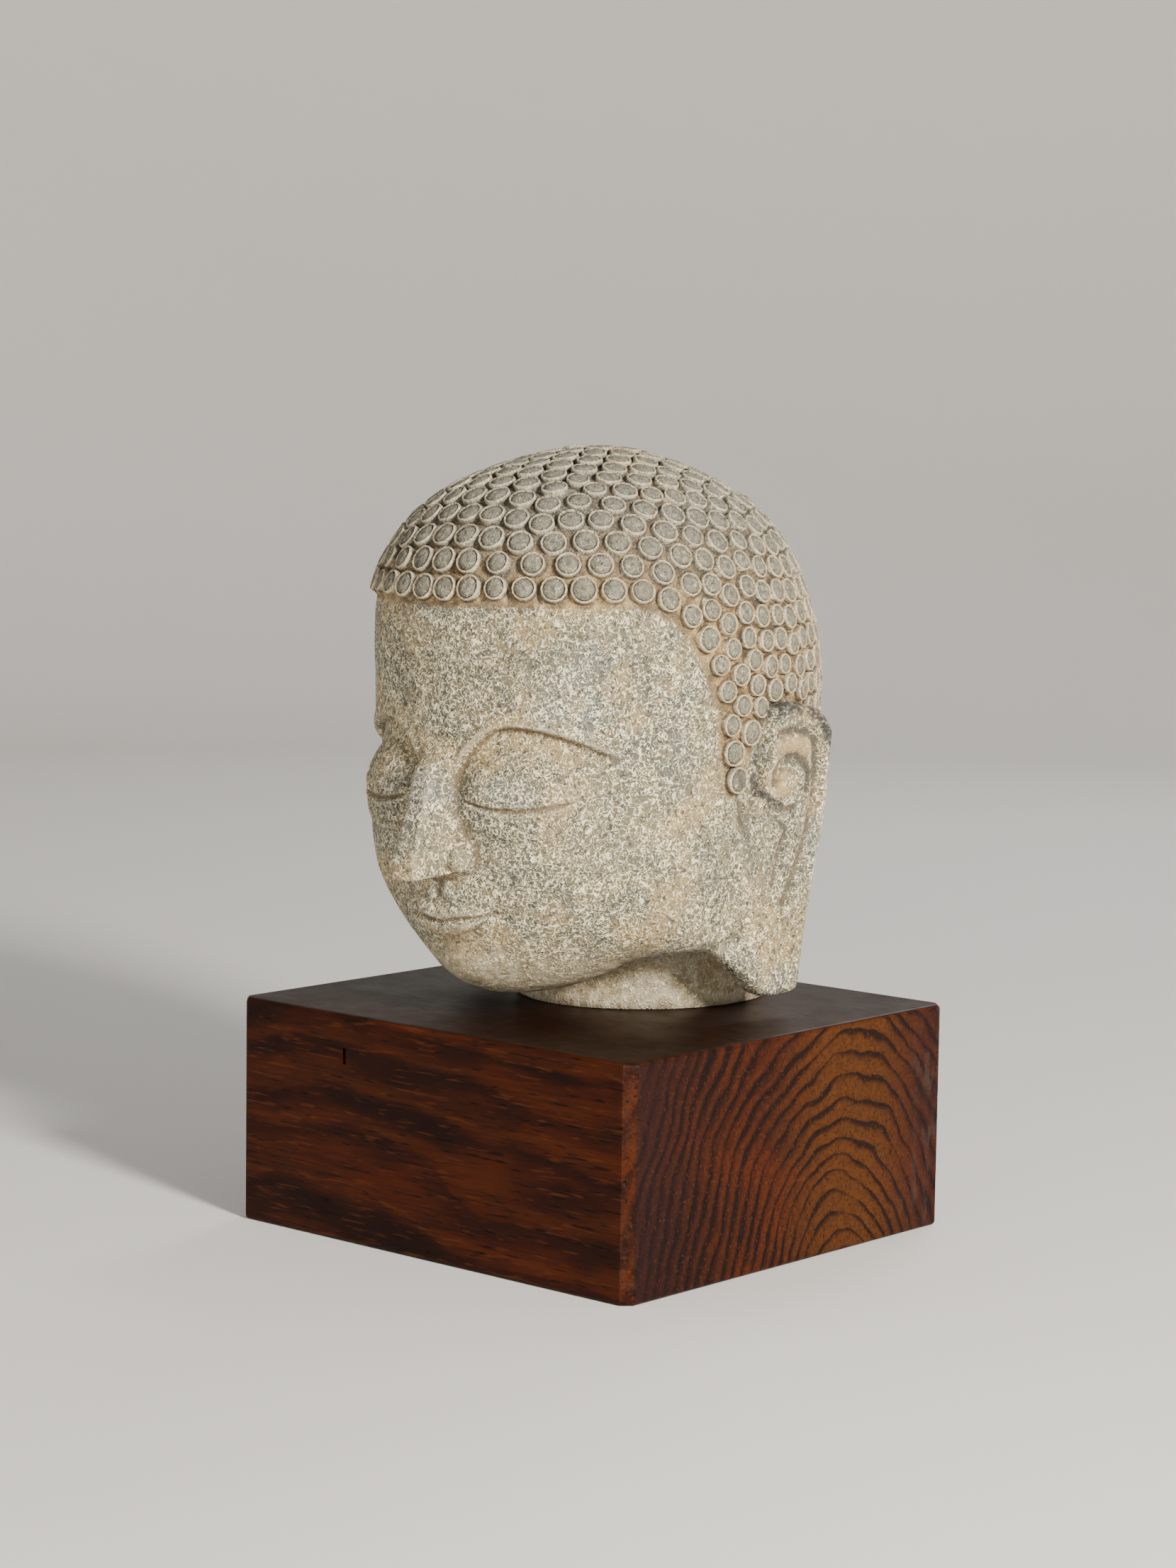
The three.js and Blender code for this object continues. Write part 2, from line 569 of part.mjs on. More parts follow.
// A knob: a flat top with few corners, joined to the ring of pits round it.
function knobTriangles(ring, positionOf, normal, centre, firstTop) {
  const side = new THREE.Vector3(0, 0, 1).cross(normal).normalize();
  const up = normal.clone().cross(side);
  const turnOf = (point) => {
    const away = point.clone().sub(centre);
    return Math.atan2(away.dot(up), away.dot(side));
  };
  const whole = 2 * Math.PI;
  const sides = CURL.topSides;
  const turns = ring.map((i) => turnOf(positionOf(i)));
  const start = turns.indexOf(Math.min(...turns));
  const outer = ring.map((_, k) => ring[(start + k) % ring.length]);
  const outerTurn = (k) => turns[(start + k) % ring.length] + whole * Math.floor(k / ring.length);
  const innerTurn = (j) => turns[start] + (whole * j) / sides;
  const tops = Array.from({ length: sides }, (_, j) => centre.clone()
    .addScaledVector(side, CURL.topRadius * Math.cos(innerTurn(j)))
    .addScaledVector(up, CURL.topRadius * Math.sin(innerTurn(j)))
    .addScaledVector(normal, CURL.floor + CURL.height));
  const triangles = [];
  let j = 0;
  let k = 0;
  while (j < sides || k < ring.length) {
    const inner = firstTop + (j % sides);
    if (k < ring.length && (j === sides || outerTurn(k + 1) <= innerTurn(j + 1))) {
      triangles.push([inner, outer[k], outer[(k + 1) % ring.length]]);
      k += 1;
    } else {
      triangles.push([inner, outer[k % ring.length], firstTop + ((j + 1) % sides)]);
      j += 1;
    }
  }
  for (let i = 1; i < sides - 1; i++) triangles.push([firstTop, firstTop + i, firstTop + i + 1]);
  return { tops, triangles };
}

function headGeometry() {
  const curls = curlCentres();
  const { samples, triangles } = joinedSamples(curls);
  const fans = curls.map(() => []);
  const kept = [];
  for (const triangle of triangles) {
    const knob = triangle.find((i) => i < curls.length);
    if (knob === undefined) kept.push(triangle);
    else fans[knob].push(triangle);
  }
  const points = samples.map(({ direction, point }) => {
    if (point.z < 0.5 * s) return point.clone().setZ(0);
    const lift = faceRelief(point) + CURL.floor * ramp(-1 * s, 2 * s, heightAboveHairline(point));
    return point.clone().addScaledVector(formNormal(direction), lift);
  });
  curls.forEach((curl, i) => {
    const normal = formNormal(towards(curl));
    const ring = ringRound(i, fans[i]);
    const { tops, triangles: knob } = knobTriangles(ring, (k) => points[k], normal, curl, points.length);
    points.push(...tops);
    kept.push(...knob);
  });
  const geometry = new THREE.BufferGeometry().setFromPoints(points);
  geometry.setIndex(kept.flat());
  return geometry;
}

// Distance from a point to a path of straight stretches, in the ear's own plane.
function pathDistance(y, z, path) {
  let least = Infinity;
  for (let i = 1; i < path.length; i++) {
    const [[y0, z0], [y1, z1]] = [path[i - 1], path[i]];
    const along = (y - y0) * (y1 - y0) + (z - z0) * (z1 - z0);
    const t = clamp(along / ((y1 - y0) ** 2 + (z1 - z0) ** 2), 0, 1);
    least = Math.min(least, Math.hypot(y - y0 - t * (y1 - y0), z - z0 - t * (z1 - z0)));
  }
  return least;
}

// Carving of the ear's outer face: raised rim, long fold inside it, and the hooked hollow.
function earRelief(y, z, rear) {
  const { rim, fold, hollow, outline } = EAR;
  const inset = Math.min(rear - y, outline.at(-1)[0] - z);
  const raised = rim.height * ramp(rim.from, rim.to, z) * (1 - ramp(0.6 * rim.width, 1.3 * rim.width, inset));
  const folded = fold.depth * hump(pathDistance(y, z, fold.path), fold.halfWidth);
  const hollowed = hollow.depth * hump(pathDistance(y, z, hollow.path), hollow.halfWidth);
  return raised - Math.max(folded, hollowed);
}

// The ear's plane, which sinks into the jaw in front of the lobe.
function earPlane(y, z, front) {
  const { sink } = EAR;
  const merged = ramp(...sink.low, z) * (1 - ramp(...sink.high, z)) * (1 - ramp(0, sink.width, y - front));
  return EAR.x + EAR.flare * (y - EAR.levelY) + EAR.lean * (z - EAR.levelZ) - sink.depth * merged;
}

// Ear on the +X side, as closed rings from the lobe to the top.
function earGeometry() {
  const { rows, outline, thickness, edgeRadius, outerShares, innerShares } = EAR;
  const bottom = outline[0][0];
  const top = outline.at(-1)[0];
  const half = thickness / 2;
  const rounded = (inset) => Math.sqrt(1 - (1 - clamp(inset / edgeRadius, 0, 1)) ** 2);
  const rings = [];
  for (let i = 0; i <= rows; i++) {
    const even = i / rows;
    const z = bottom + (top - bottom) * (0.5 * even + 0.25 * (1 - Math.cos(Math.PI * even)));
    const front = lookUp(outline, z, 1);
    const rear = lookUp(outline, z, 2);
    const tip = Math.max(0.4, rounded(Math.min(z - bottom, top - z)));
    const corner = (share, side) => {
      const y = front + (rear - front) * share;
      const round = Math.max(0.25, rounded(Math.min(y - front, rear - y))) * tip;
      const relief = side > 0 ? earRelief(y, z, rear) * round : 0;
      return new THREE.Vector3(earPlane(y, z, front) - half + side * half * round + relief, y, z);
    };
    const outerSide = outerShares.map((share) => corner(share, 1));
    rings.push([...outerSide, ...innerShares.map((share) => corner(share, -1))]);
  }
  return loftedRings(rings);
}

// Closed solid through rings of equal count, with a fan at each end.
function loftedRings(rings) {
  const count = rings[0].length;
  const middle = (ring) =>
    ring.reduce((sum, point) => sum.add(point), new THREE.Vector3()).divideScalar(count);
  const points = [...rings.flat(), middle(rings[0]), middle(rings.at(-1))];
  const index = [];
  const at = (i, j) => i * count + (j % count);
  for (let i = 0; i < rings.length - 1; i++) {
    for (let j = 0; j < count; j++) {
      index.push(at(i, j), at(i, j + 1), at(i + 1, j), at(i, j + 1), at(i + 1, j + 1), at(i + 1, j));
    }
  }
  for (let j = 0; j < count; j++) {
    index.push(points.length - 2, at(0, j + 1), at(0, j));
    index.push(points.length - 1, at(rings.length - 1, j), at(rings.length - 1, j + 1));
  }
  const geometry = new THREE.BufferGeometry().setFromPoints(points);
  geometry.setIndex(index);
  return geometry;
}

const wasm = await Module();
wasm.setup();

function toSolid(geometry, mirrored = false) {
  const bare = geometry.clone();
  bare.deleteAttribute("normal");
  bare.deleteAttribute("uv");
  const merged = mergeVertices(bare, 1e-4);
  const vertices = new Float32Array(merged.attributes.position.array);
  const triangles = new Uint32Array(merged.index.array);
  if (mirrored) {
    for (let i = 0; i < vertices.length; i += 3) vertices[i] = -vertices[i];
    for (let i = 0; i < triangles.length; i += 3) {
      [triangles[i + 1], triangles[i + 2]] = [triangles[i + 2], triangles[i + 1]];
    }
  }
  return new wasm.Manifold(new wasm.Mesh({ numProp: 3, vertProperties: vertices, triVerts: triangles }));
}

function toGeometry(solid) {
  const mesh = solid.getMesh();
  const geometry = new THREE.BufferGeometry();
  geometry.setAttribute("position", new THREE.Float32BufferAttribute(mesh.vertProperties, 3));
  geometry.setIndex([...mesh.triVerts]);
  return geometry;
}

function buddhaHead() {
  const ear = earGeometry();
  const solid = toSolid(headGeometry()).add(toSolid(ear)).add(toSolid(ear, true));
  const mesh = new THREE.Mesh(toGeometry(solid), new THREE.MeshStandardMaterial(COLOUR.stone));
  mesh.name = "buddha_head";
  mesh.position.z = BLOCK_HEIGHT + SEAT_GAP;
  return mesh;
}

function woodenBlock() {
  const halfX = BLOCK_WIDTH / 2;
  const halfY = BLOCK_DEPTH / 2;
  const cut = BLOCK_CORNER_CHAMFER;
  const outline = new THREE.Shape();
  outline.moveTo(-halfX + cut, -halfY);
  outline.lineTo(halfX - cut, -halfY);
  outline.lineTo(halfX, -halfY + cut);
  outline.lineTo(halfX, halfY - cut);
  outline.lineTo(halfX - cut, halfY);
  outline.lineTo(-halfX + cut, halfY);
  outline.lineTo(-halfX, halfY - cut);
  outline.lineTo(-halfX, -halfY + cut);
  const body = new THREE.ExtrudeGeometry(outline, {
    depth: BLOCK_HEIGHT - 2 * BLOCK_EDGE_ROUND,
    bevelThickness: BLOCK_EDGE_ROUND,
    bevelSize: BLOCK_EDGE_ROUND,
    bevelOffset: -BLOCK_EDGE_ROUND,
    bevelSegments: 3,
  });
  body.translate(0, 0, BLOCK_EDGE_ROUND);
  const slot = new THREE.BoxGeometry(PEG_SLOT.width, 2 * PEG_SLOT.depth, PEG_SLOT.height);
  slot.translate(PEG_SLOT.fromLeft - halfX, -halfY, BLOCK_HEIGHT - PEG_SLOT.fromTop - PEG_SLOT.height / 2);
  const solid = toSolid(body).subtract(toSolid(slot));
  const mesh = new THREE.Mesh(toGeometry(solid), new THREE.MeshStandardMaterial(COLOUR.wood));
  mesh.name = "wooden_block";
  return mesh;
}

const sculpture = new THREE.Group();
sculpture.add(woodenBlock(), buddhaHead());

export default sculpture;
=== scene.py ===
"""Carved stone head on a wooden block: the finished surfaces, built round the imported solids."""

import math
from types import SimpleNamespace as Form

import bpy
import numpy as np
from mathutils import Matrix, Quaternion, Vector, noise
from mathutils.geometry import delaunay_2d_cdt
from mathutils.kdtree import KDTree


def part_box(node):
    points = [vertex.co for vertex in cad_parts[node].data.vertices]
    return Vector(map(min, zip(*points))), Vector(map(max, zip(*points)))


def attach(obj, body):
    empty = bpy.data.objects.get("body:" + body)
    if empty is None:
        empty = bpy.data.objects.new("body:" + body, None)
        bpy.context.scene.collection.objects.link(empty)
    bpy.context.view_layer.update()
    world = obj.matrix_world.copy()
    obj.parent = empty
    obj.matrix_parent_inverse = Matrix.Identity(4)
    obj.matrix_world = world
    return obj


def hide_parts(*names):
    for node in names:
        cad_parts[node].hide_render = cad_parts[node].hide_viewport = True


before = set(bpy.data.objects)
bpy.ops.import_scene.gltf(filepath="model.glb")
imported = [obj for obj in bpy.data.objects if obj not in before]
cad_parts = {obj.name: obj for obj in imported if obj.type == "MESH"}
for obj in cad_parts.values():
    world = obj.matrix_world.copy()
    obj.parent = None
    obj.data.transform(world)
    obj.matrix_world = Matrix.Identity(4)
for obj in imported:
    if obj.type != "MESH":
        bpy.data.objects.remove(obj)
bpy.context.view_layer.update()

MM = 0.001
# The head's own unit: its carving is stated for a head 245.5 units high, about a millimetre each.
HEAD_LOW, HEAD_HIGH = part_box("buddha_head")
UNIT = (HEAD_HIGH.z - HEAD_LOW.z) / 245.5
BLOCK_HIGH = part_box("wooden_block")[1]
SEAT = np.array([0, 0, HEAD_LOW.z / UNIT])

# The ovoid of skull and face.
WIDEST, CROWN = 145.0, 235.8
HALF_WIDTH, HALF_DEPTH, MIDDLE_Y, LEAN = 88.5, 100.2, -1.5, 5.0
PLAN_ROUND, DOME_ROUND, CHEEK_ROUND, PROFILE_ROUND = 2.15, 2.5, 2.8, 4.0
CROWN_RISE, CROWN_RADIUS = 5.6, 34.0
CHIN_BOTTOM = 9.0
JAW_RISE, JAW_FRONT, JAW_BACK = 38.0, -62.0, 60.0
NECK_WIDTH, NECK_FRONT, NECK_REAR, NECK_X, NECK_Y = 54.5, 61.0, 54.0, -4.0, 39.5
NECK_FLARE, NECK_CREASE = 0.03, 2.5
NECK_POINTS, NECK_ROWS = 200, (-1.6, -0.6, 0.4, 1.6)
# Fullness of the jaw in front of each lobe, as a rounded body beside the ovoid.
FLANK, FLANK_SIZE = np.array([56.0, -4.0, 60.0]), np.array([30.0, 46.0, 32.0])
FLANK_ROUND, FLANK_BLEND = 4.0, 14.0
# The point that all rays start from, and a distance beyond the whole head.
STAR, FAR = np.array([0.0, 12.0, 110.0]), 491.0

# Hair knobs and the hairline, in degrees from the face and height.
PITCH, ROW_PITCH = 11.9, 10.6
FOOT_RADIUS, HAIR_FLOOR, KNOB_HEIGHT = 6.2, 1.2, 2.75
HAIRLINE = np.array([
    (0, 179), (15, 180), (50, 180), (56, 178), (61, 174), (65, 168), (69, 159), (72, 149), (74.5, 137),
    (76, 120), (78, 105), (81, 98.5), (84, 99), (87, 109), (90, 122), (95, 136), (106, 139.5), (114, 133),
    (118, 114), (123, 99), (134, 94), (180, 94),
], dtype=float)
KNOB_RINGS, SETTLING_STEPS = 24, 60
# Section through one knob, from its edge to its middle: radius and height as shares of the whole.
KNOB_SECTION = [
    (1.0, 0.0), (0.98, 0.60), (0.945, 0.93), (0.87, 1.0), (0.80, 0.40), (0.73, 0.88), (0.36, 1.02),
]
KNOB_SIDES, KNOB_MIDDLE = 14, 1.04
# How far the knobs differ from one another, and each one's edge from a true round.
VARIETY = Form(radius=(0.97, 1.0), height=(0.88, 1.06), lean=0.035, oval=0.03, edge=0.008, level=0.05)

# Soft unevenness of head and ears, as noises, each of a frequency and a height.
HEAD_WAVES, EAR_WAVES = [(0.045, 0.7), (0.21, 0.22)], [(0.07, 0.5), (0.25, 0.2)]


def smooth(low, high, value):
    """0 below low, 1 above high, eased between."""
    t = np.clip((value - low) / (high - low), 0, 1)
    return t * t * (3 - 2 * t)


def hump(distance, radius):
    return np.exp(-((distance / radius) ** 2))


def unit(vectors):
    return vectors / np.linalg.norm(vectors, axis=-1, keepdims=True)


def unevenness(points, waves):
    return np.array([sum(height * noise.noise(Vector(p) * often) for often, height in waves) for p in points])


def tree_of(points):
    tree = KDTree(len(points))
    for i, point in enumerate(points):
        tree.insert(point, i)
    tree.balance()
    return tree


def between(start, end, value):
    """1 between two eased ends, 0 outside them."""
    return smooth(*start, value) * (1 - smooth(*end, value))


def mirrored(points):
    """Distance from the middle plane, y and height."""
    return np.abs(points[:, 0]), points[:, 1], points[:, 2]


def inside_ovoid(p):
    """Which points lie inside the smooth ovoid of skull and face."""
    x, y, z = p.T
    middle = MIDDLE_Y - LEAN * smooth(WIDEST, WIDEST * 1.3, z)
    rise = CROWN_RISE * hump(np.hypot(x, y), CROWN_RADIUS)
    up = np.clip((z - rise - WIDEST) / (CROWN - WIDEST), 0, 1)
    dome = (1 - up ** DOME_ROUND) ** (1 / DOME_ROUND)
    bottom = CHIN_BOTTOM + JAW_RISE * smooth(JAW_FRONT, JAW_BACK, y)
    down = np.clip((WIDEST - z) / (WIDEST - bottom), 0, 1)
    across = np.where(z >= WIDEST, dome, (1 - down ** CHEEK_ROUND) ** (1 / CHEEK_ROUND))
    deep = np.where(z >= WIDEST, dome, (1 - down ** PROFILE_ROUND) ** (1 / PROFILE_ROUND))
    half_x = np.maximum(HALF_WIDTH * across, 1e-6)
    half_y = np.maximum(HALF_DEPTH * deep, 1e-6)
    return (np.abs(x) / half_x) ** PLAN_ROUND + (np.abs(y - middle) / half_y) ** PLAN_ROUND < 1


def inside_neck(p):
    x, y, z = p.T
    grow = NECK_FLARE * z
    depth = np.where(y < NECK_Y, NECK_FRONT, NECK_REAR)
    ring = ((x - NECK_X) / (NECK_WIDTH + grow)) ** 2 + ((y - NECK_Y) / (depth + grow)) ** 2
    return (z > 0) & (z < STAR[2]) & (ring < 1)


def inside_flank(p):
    x, y, z = ((np.column_stack([np.abs(p[:, 0]), p[:, 1], p[:, 2]]) - FLANK) / FLANK_SIZE).T
    return x ** 2 + y ** 2 + np.abs(z) ** FLANK_ROUND < 1


def exit_distance(directions, inside, start=0.0):
    near = np.zeros(len(directions)) + start
    far = np.full(len(directions), FAR)
    for _ in range(30):
        middle = (near + far) / 2
        within = inside(STAR + directions * middle[:, None])
        near = np.where(within, middle, near)
        far = np.where(within, far, middle)
    return (near + far) / 2


def flank_distance(directions):
    """Exit distance of the jaw's fullness, or nothing where a direction misses it."""
    side = np.where(directions[:, :1] < 0, -1, 1) * [1, 0, 0] + [0, 1, 1]
    way = directions / FLANK_SIZE
    nearest = (((FLANK * side - STAR) / FLANK_SIZE) * way).sum(1) / (way * way).sum(1)
    hit = inside_flank(STAR + directions * nearest[:, None])
    return np.where(hit, exit_distance(directions, inside_flank, nearest), 0)


def blended_larger(a, b, radius):
    """Larger of two distances, rounded where they cross."""
    h = np.maximum(radius - np.abs(a - b), 0) / radius
    return np.maximum(a, b) + h * h * radius / 4


def form_points(directions):
    """The plain form below the carving, on rays from the star centre."""
    reach = exit_distance(directions, inside_ovoid)
    low = np.flatnonzero(directions[:, 2] < 0)
    down = directions[low]
    full = blended_larger(reach[low], flank_distance(down), FLANK_BLEND)
    full = blended_larger(full, exit_distance(down, inside_neck), NECK_CREASE)
    reach[low] = np.minimum(full, -STAR[2] / down[:, 2])
    return STAR + directions * reach[:, None]


def towards(points):
    return unit(points - STAR)


def form_normals(directions, step=0.01):
    side = unit(np.stack([directions[:, 1], -directions[:, 0], np.full(len(directions), 0.0)], 1) + 1e-12)
    up = np.cross(side, directions)
    here = form_points(directions)
    a = form_points(unit(directions + side * step)) - here
    b = form_points(unit(directions + up * step)) - here
    return unit(np.cross(b, a))


def hairline(angles):
    return np.interp(np.abs(angles), HAIRLINE[:, 0], HAIRLINE[:, 1])


def above_hairline(points):
    angle = np.degrees(np.arctan2(np.abs(points[:, 0]), -points[:, 1]))
    return points[:, 2] - hairline(angle)


def form_at(angles, heights):
    """Points of the form at angles from the face, in degrees, and heights."""
    turn = np.radians(angles)
    across = np.stack([np.sin(turn), -np.cos(turn)], 1)
    reach = np.full(len(angles), 1.2 * HALF_DEPTH)
    for _ in range(8):
        found = form_points(towards(np.column_stack([across * reach[:, None], heights])))
        reach = np.hypot(found[:, 0], found[:, 1])
    return found


def hairline_row():
    """The first row of knobs, set in from the hairline by a knob's own radius."""
    steps = 1440
    angles = -180 + 360 * np.arange(steps) / steps
    path = form_at(angles, hairline(angles))
    along = unit(np.roll(path, -1, 0) - np.roll(path, 1, 0))
    inward = unit(np.cross(along, form_normals(towards(path))))
    inward[inward[:, 2] < 0] *= -1
    centres = form_points(towards(path + inward * FOOT_RADIUS))
    row = []
    for centre, height in zip(centres, above_hairline(centres)):
        free = all(np.linalg.norm(other - centre) >= PITCH for other in row)
        if free and height > FOOT_RADIUS * 0.5:
            row.append(centre)
    return np.array(row)


def knob_centres():
    """Rings of knobs round the crown, which push each other apart until they lie evenly."""
    fixed = hairline_row()
    free = [form_points(unit(np.array([[0, -0.03, 1.0]])))[0]]
    for ring in range(1, KNOB_RINGS):
        arc = ring * ROW_PITCH
        tilt = min(arc / HALF_DEPTH, math.pi / 2)
        around = HALF_DEPTH * math.sin(tilt)
        count = round(2 * math.pi * around / PITCH)
        turn = 2 * math.pi * (np.arange(count) + (ring % 2) / 2) / count
        height = WIDEST + HALF_DEPTH * math.cos(tilt) - max(0, arc - HALF_DEPTH * math.pi / 2)
        target = np.stack([np.sin(turn) * around, -np.cos(turn) * around, np.full(count, height)], 1)
        points = form_points(towards(target))
        apart = np.linalg.norm(points[:, None] - fixed[None], axis=2).min(1)
        free.extend(points[(apart > PITCH * 0.8) & (above_hairline(points) > FOOT_RADIUS)])
    free = np.array(free)
    reach = PITCH * 1.25
    for _ in range(SETTLING_STEPS):
        away = free[:, None] - np.concatenate([fixed, free])[None]
        distance = np.linalg.norm(away, axis=2)
        near = (distance > 0) & (distance < reach)
        pull = np.where(near, 0.35 * (reach - distance) / np.maximum(distance, 1e-9), 0)
        free = form_points(towards(free + (away * pull[..., None]).sum(1)))
    return np.concatenate([fixed, free])


# Face, by the rule of three equal parts from hairline to chin.
BROW = Form(inner_x=8.0, inner_z=107.0, peak_x=36.0, peak_z=129.5, outer_x=77.0, outer_z=112.0,
            depth=4.2, edge=1.4, fade_from=3.0, fade_to=26.0, bead=0.7, bead_half=2.4)
LID = Form(x=37.0, z=100.0, half_width=29.0, half_height=19.0, height=5.2)
EYE = Form(inner_x=15.0, outer_x=61.0, z=98.5, rise=1.5, dip=4.2, open=2.5,
           slit=1.9, edge=0.5, lower_lid=0.8, lower_lid_half=1.4, under=0.9, under_fade=12.0)
NOSE = Form(root_z=121.0, tip_z=73.0, base_z=65.5, base_curve=0.0086, height=21.0,
            root_half=5.5, tip_half=9.0, bulb=1.6, bulb_half=8.0)
WING = Form(x=14.0, z=73.0, radius=7.0, height=9.0)
MOUTH = Form(z=48.0, half_width=25.0, upper=7.4, lower=8.4, lift=2.2, fullness=3.6,
             groove=2.2, groove_half=0.9, bow=0.8, bow_half=4.5)
MUZZLE = Form(z=50.0, height=3.5, half_width=24.0, half_height=17.0)
FOLD = Form(z=35.5, height=-2.6, half_width=17.0, half_height=5.5)
DIMPLE = Form(x=27.0, z=50.2, depth=1.6, radius=4.5)
CHIN = Form(z=25.0, height=6.5, half_width=19.0, half_height=13.0)
CHEEK = Form(x=50.0, z=70.0, height=4.2, radius=27.0)
NOSTRIL = Form(x=7.5, radius=3.4, depth=4.0, reach=5.0)
PHILTRUM = Form(ridge_x=4.2, ridge_half=2.0, ridge=0.9, groove_half=2.6, low=(54.0, 57.0), high=(61.0, 66.0))
LID_CREASE = Form(depth=0.6, rise=8.5, half=0.9)


def brow_height(x):
    b = BROW
    inner = np.clip((b.peak_x - x) / (b.peak_x - b.inner_x), 0, None) ** 2.2
    outer = np.clip((x - b.peak_x) / (b.outer_x - b.peak_x), 0, None) ** 2
    return b.peak_z - (b.peak_z - b.inner_z) * inner - (b.peak_z - b.outer_z) * outer


def eye_share(x):
    return np.clip((x - EYE.inner_x) / (EYE.outer_x - EYE.inner_x), 0, 1)


def eye_height(x):
    t = eye_share(x)
    return EYE.z + EYE.rise * t - EYE.dip * np.sin(np.pi * t) * (1 - 0.45 * t)


def eye_opening(x):
    return EYE.open * np.sin(np.pi * eye_share(x)) ** 0.8


def nose_base(x):
    return NOSE.base_z + NOSE.base_curve * x * x


def mouth_height(x):
    m = MOUTH
    return m.z + m.lift * (x / m.half_width) ** 2 - m.bow * hump(x, m.bow_half)


def lip_share(x, width):
    return np.maximum(0.001, 1 - (x / (width * MOUTH.half_width)) ** 2)


def upper_lip(x):
    return MOUTH.upper * lip_share(x, 1) ** 0.75 * (1 - 0.2 * hump(x, MOUTH.bow_half))


def lower_lip(x):
    return MOUTH.lower * lip_share(x, 0.92) ** 0.8


def brow_relief(x, z):
    b = BROW
    below = brow_height(x) - z
    span = between((b.inner_x * 0.5, b.inner_x * 1.4), (b.outer_x * 0.8, b.outer_x), x)
    step = -b.depth * smooth(0, b.edge, below) * (1 - smooth(b.fade_from, b.fade_to, below))
    return span * (step + b.bead * hump(below + b.edge, b.bead_half))


def eye_relief(x, z):
    e = EYE
    q = ((x - LID.x) / LID.half_width) ** 2 + ((z - LID.z) / LID.half_height) ** 2
    ball = LID.height * np.clip(1 - q, 0, 1) ** 0.8
    above = z - eye_height(x)
    gap = eye_opening(x)
    end = 0.1 * (e.outer_x - e.inner_x)
    span = between((e.inner_x - end / 2, e.inner_x + end), (e.outer_x - end, e.outer_x), x)
    under_upper = 1 - smooth(-e.edge, e.edge, above)
    on_lower = 1 - smooth(-gap - e.edge, -gap + e.edge, above)
    bead = e.lower_lid * hump(above + gap + e.lower_lid_half, e.lower_lid_half)
    bag = (bead - e.under) * on_lower * smooth(-e.under_fade, -gap, above)
    crease_rise = LID_CREASE.rise * np.sin(np.pi * eye_share(x)) ** 0.6
    crease = -LID_CREASE.depth * hump(above - crease_rise, LID_CREASE.half)
    return ball + span * (bag + crease - e.slit * under_upper * (1 - on_lower))


def nose_height(x, z):
    n = NOSE
    t = np.clip((n.root_z - z) / (n.root_z - n.tip_z), 0, 1.2)
    half = n.root_half + (n.tip_half - n.root_half) * t
    ridge = n.height * (0.35 * smooth(0, 0.3, t) + 0.65 * np.minimum(t, 1) ** 1.3)
    flank = 1 - smooth(half * 0.45, half * 1.95, x)
    bulb = n.bulb * hump(np.hypot(x, z - n.tip_z), n.bulb_half)
    spread = np.hypot((x - WING.x) / WING.radius, (z - WING.z) / (1.15 * WING.radius))
    side = WING.height * np.clip(1 - spread ** 2, 0, 1) ** 0.55
    return np.maximum(ridge * flank + bulb, side)


def nose_relief(x, z):
    edge = 0.1 * NOSE.height
    return smooth(nose_base(x) - edge, nose_base(x) + edge, z) * nose_height(x, z)


def swell(x, z, form):
    return form.height * hump(x, form.half_width) * hump(z - form.z, form.half_height)


def mouth_relief(x, z):
    m = MOUTH
    above = (z - mouth_height(x)) / upper_lip(x)
    below = (mouth_height(x) - z) / lower_lip(x)
    up, down = np.clip(above, 0, 1), np.clip(below, 0, 1)
    upper = np.where(above < 1, 0.75 * (1 - up ** 2) ** 0.8 + 0.25 * (1 - up), 0)
    lower = np.where(below < 1, np.sin(np.pi * np.clip(0.12 + 0.88 * down, 0, 1)) ** 0.7, 0)
    lips = m.fullness * np.where(above >= 0, upper, lower) * np.sqrt(lip_share(x, 1))
    seam = 1 - smooth(0.92 * m.half_width, 1.12 * m.half_width, x)
    groove = m.groove * hump(z - mouth_height(x), m.groove_half) * seam
    corner = DIMPLE.depth * hump(np.hypot(x - DIMPLE.x, z - DIMPLE.z), DIMPLE.radius)
    p = PHILTRUM
    philtrum = p.ridge * hump(x - p.ridge_x, p.ridge_half) - hump(x, p.groove_half)
    philtrum = philtrum * between(p.low, p.high, z)
    return lips + swell(x, z, MUZZLE) + swell(x, z, CHIN) + swell(x, z, FOLD) - groove - corner + philtrum


def face_relief(points):
    x, y, z = mirrored(points)
    front = 1 - smooth(-0.45 * HALF_DEPTH, -0.2 * HALF_DEPTH, y)
    full = CHEEK.height * hump(x - CHEEK.x, CHEEK.radius) * hump(z - CHEEK.z, CHEEK.radius)
    return front * (full + brow_relief(x, z) + eye_relief(x, z) + nose_relief(x, z) + mouth_relief(x, z))


def nostril_lift(points):
    """How far the nose's underside is hollowed upwards in its two nostrils."""
    x, _, z = mirrored(points)
    share = nose_relief(x, z) / np.maximum(nose_height(x, z), 1)
    edge = np.clip(4 * share * (1 - share), 0, 1) ** 1.5
    below = np.abs(z - NOSE.base_z) < NOSTRIL.reach
    return NOSTRIL.depth * hump(x - NOSTRIL.x, NOSTRIL.radius) * edge * below


def spiral(spacing):
    """Evenly spread directions that cover the whole head."""
    count = round(4 * math.pi * HALF_DEPTH ** 2 / spacing ** 2)
    i = np.arange(count)
    z = 1 - 2 * (i + 0.5) / count
    turn = i * math.pi * (3 - math.sqrt(5))
    r = np.sqrt(1 - z * z)
    return np.stack([r * np.cos(turn), r * np.sin(turn), z], 1)


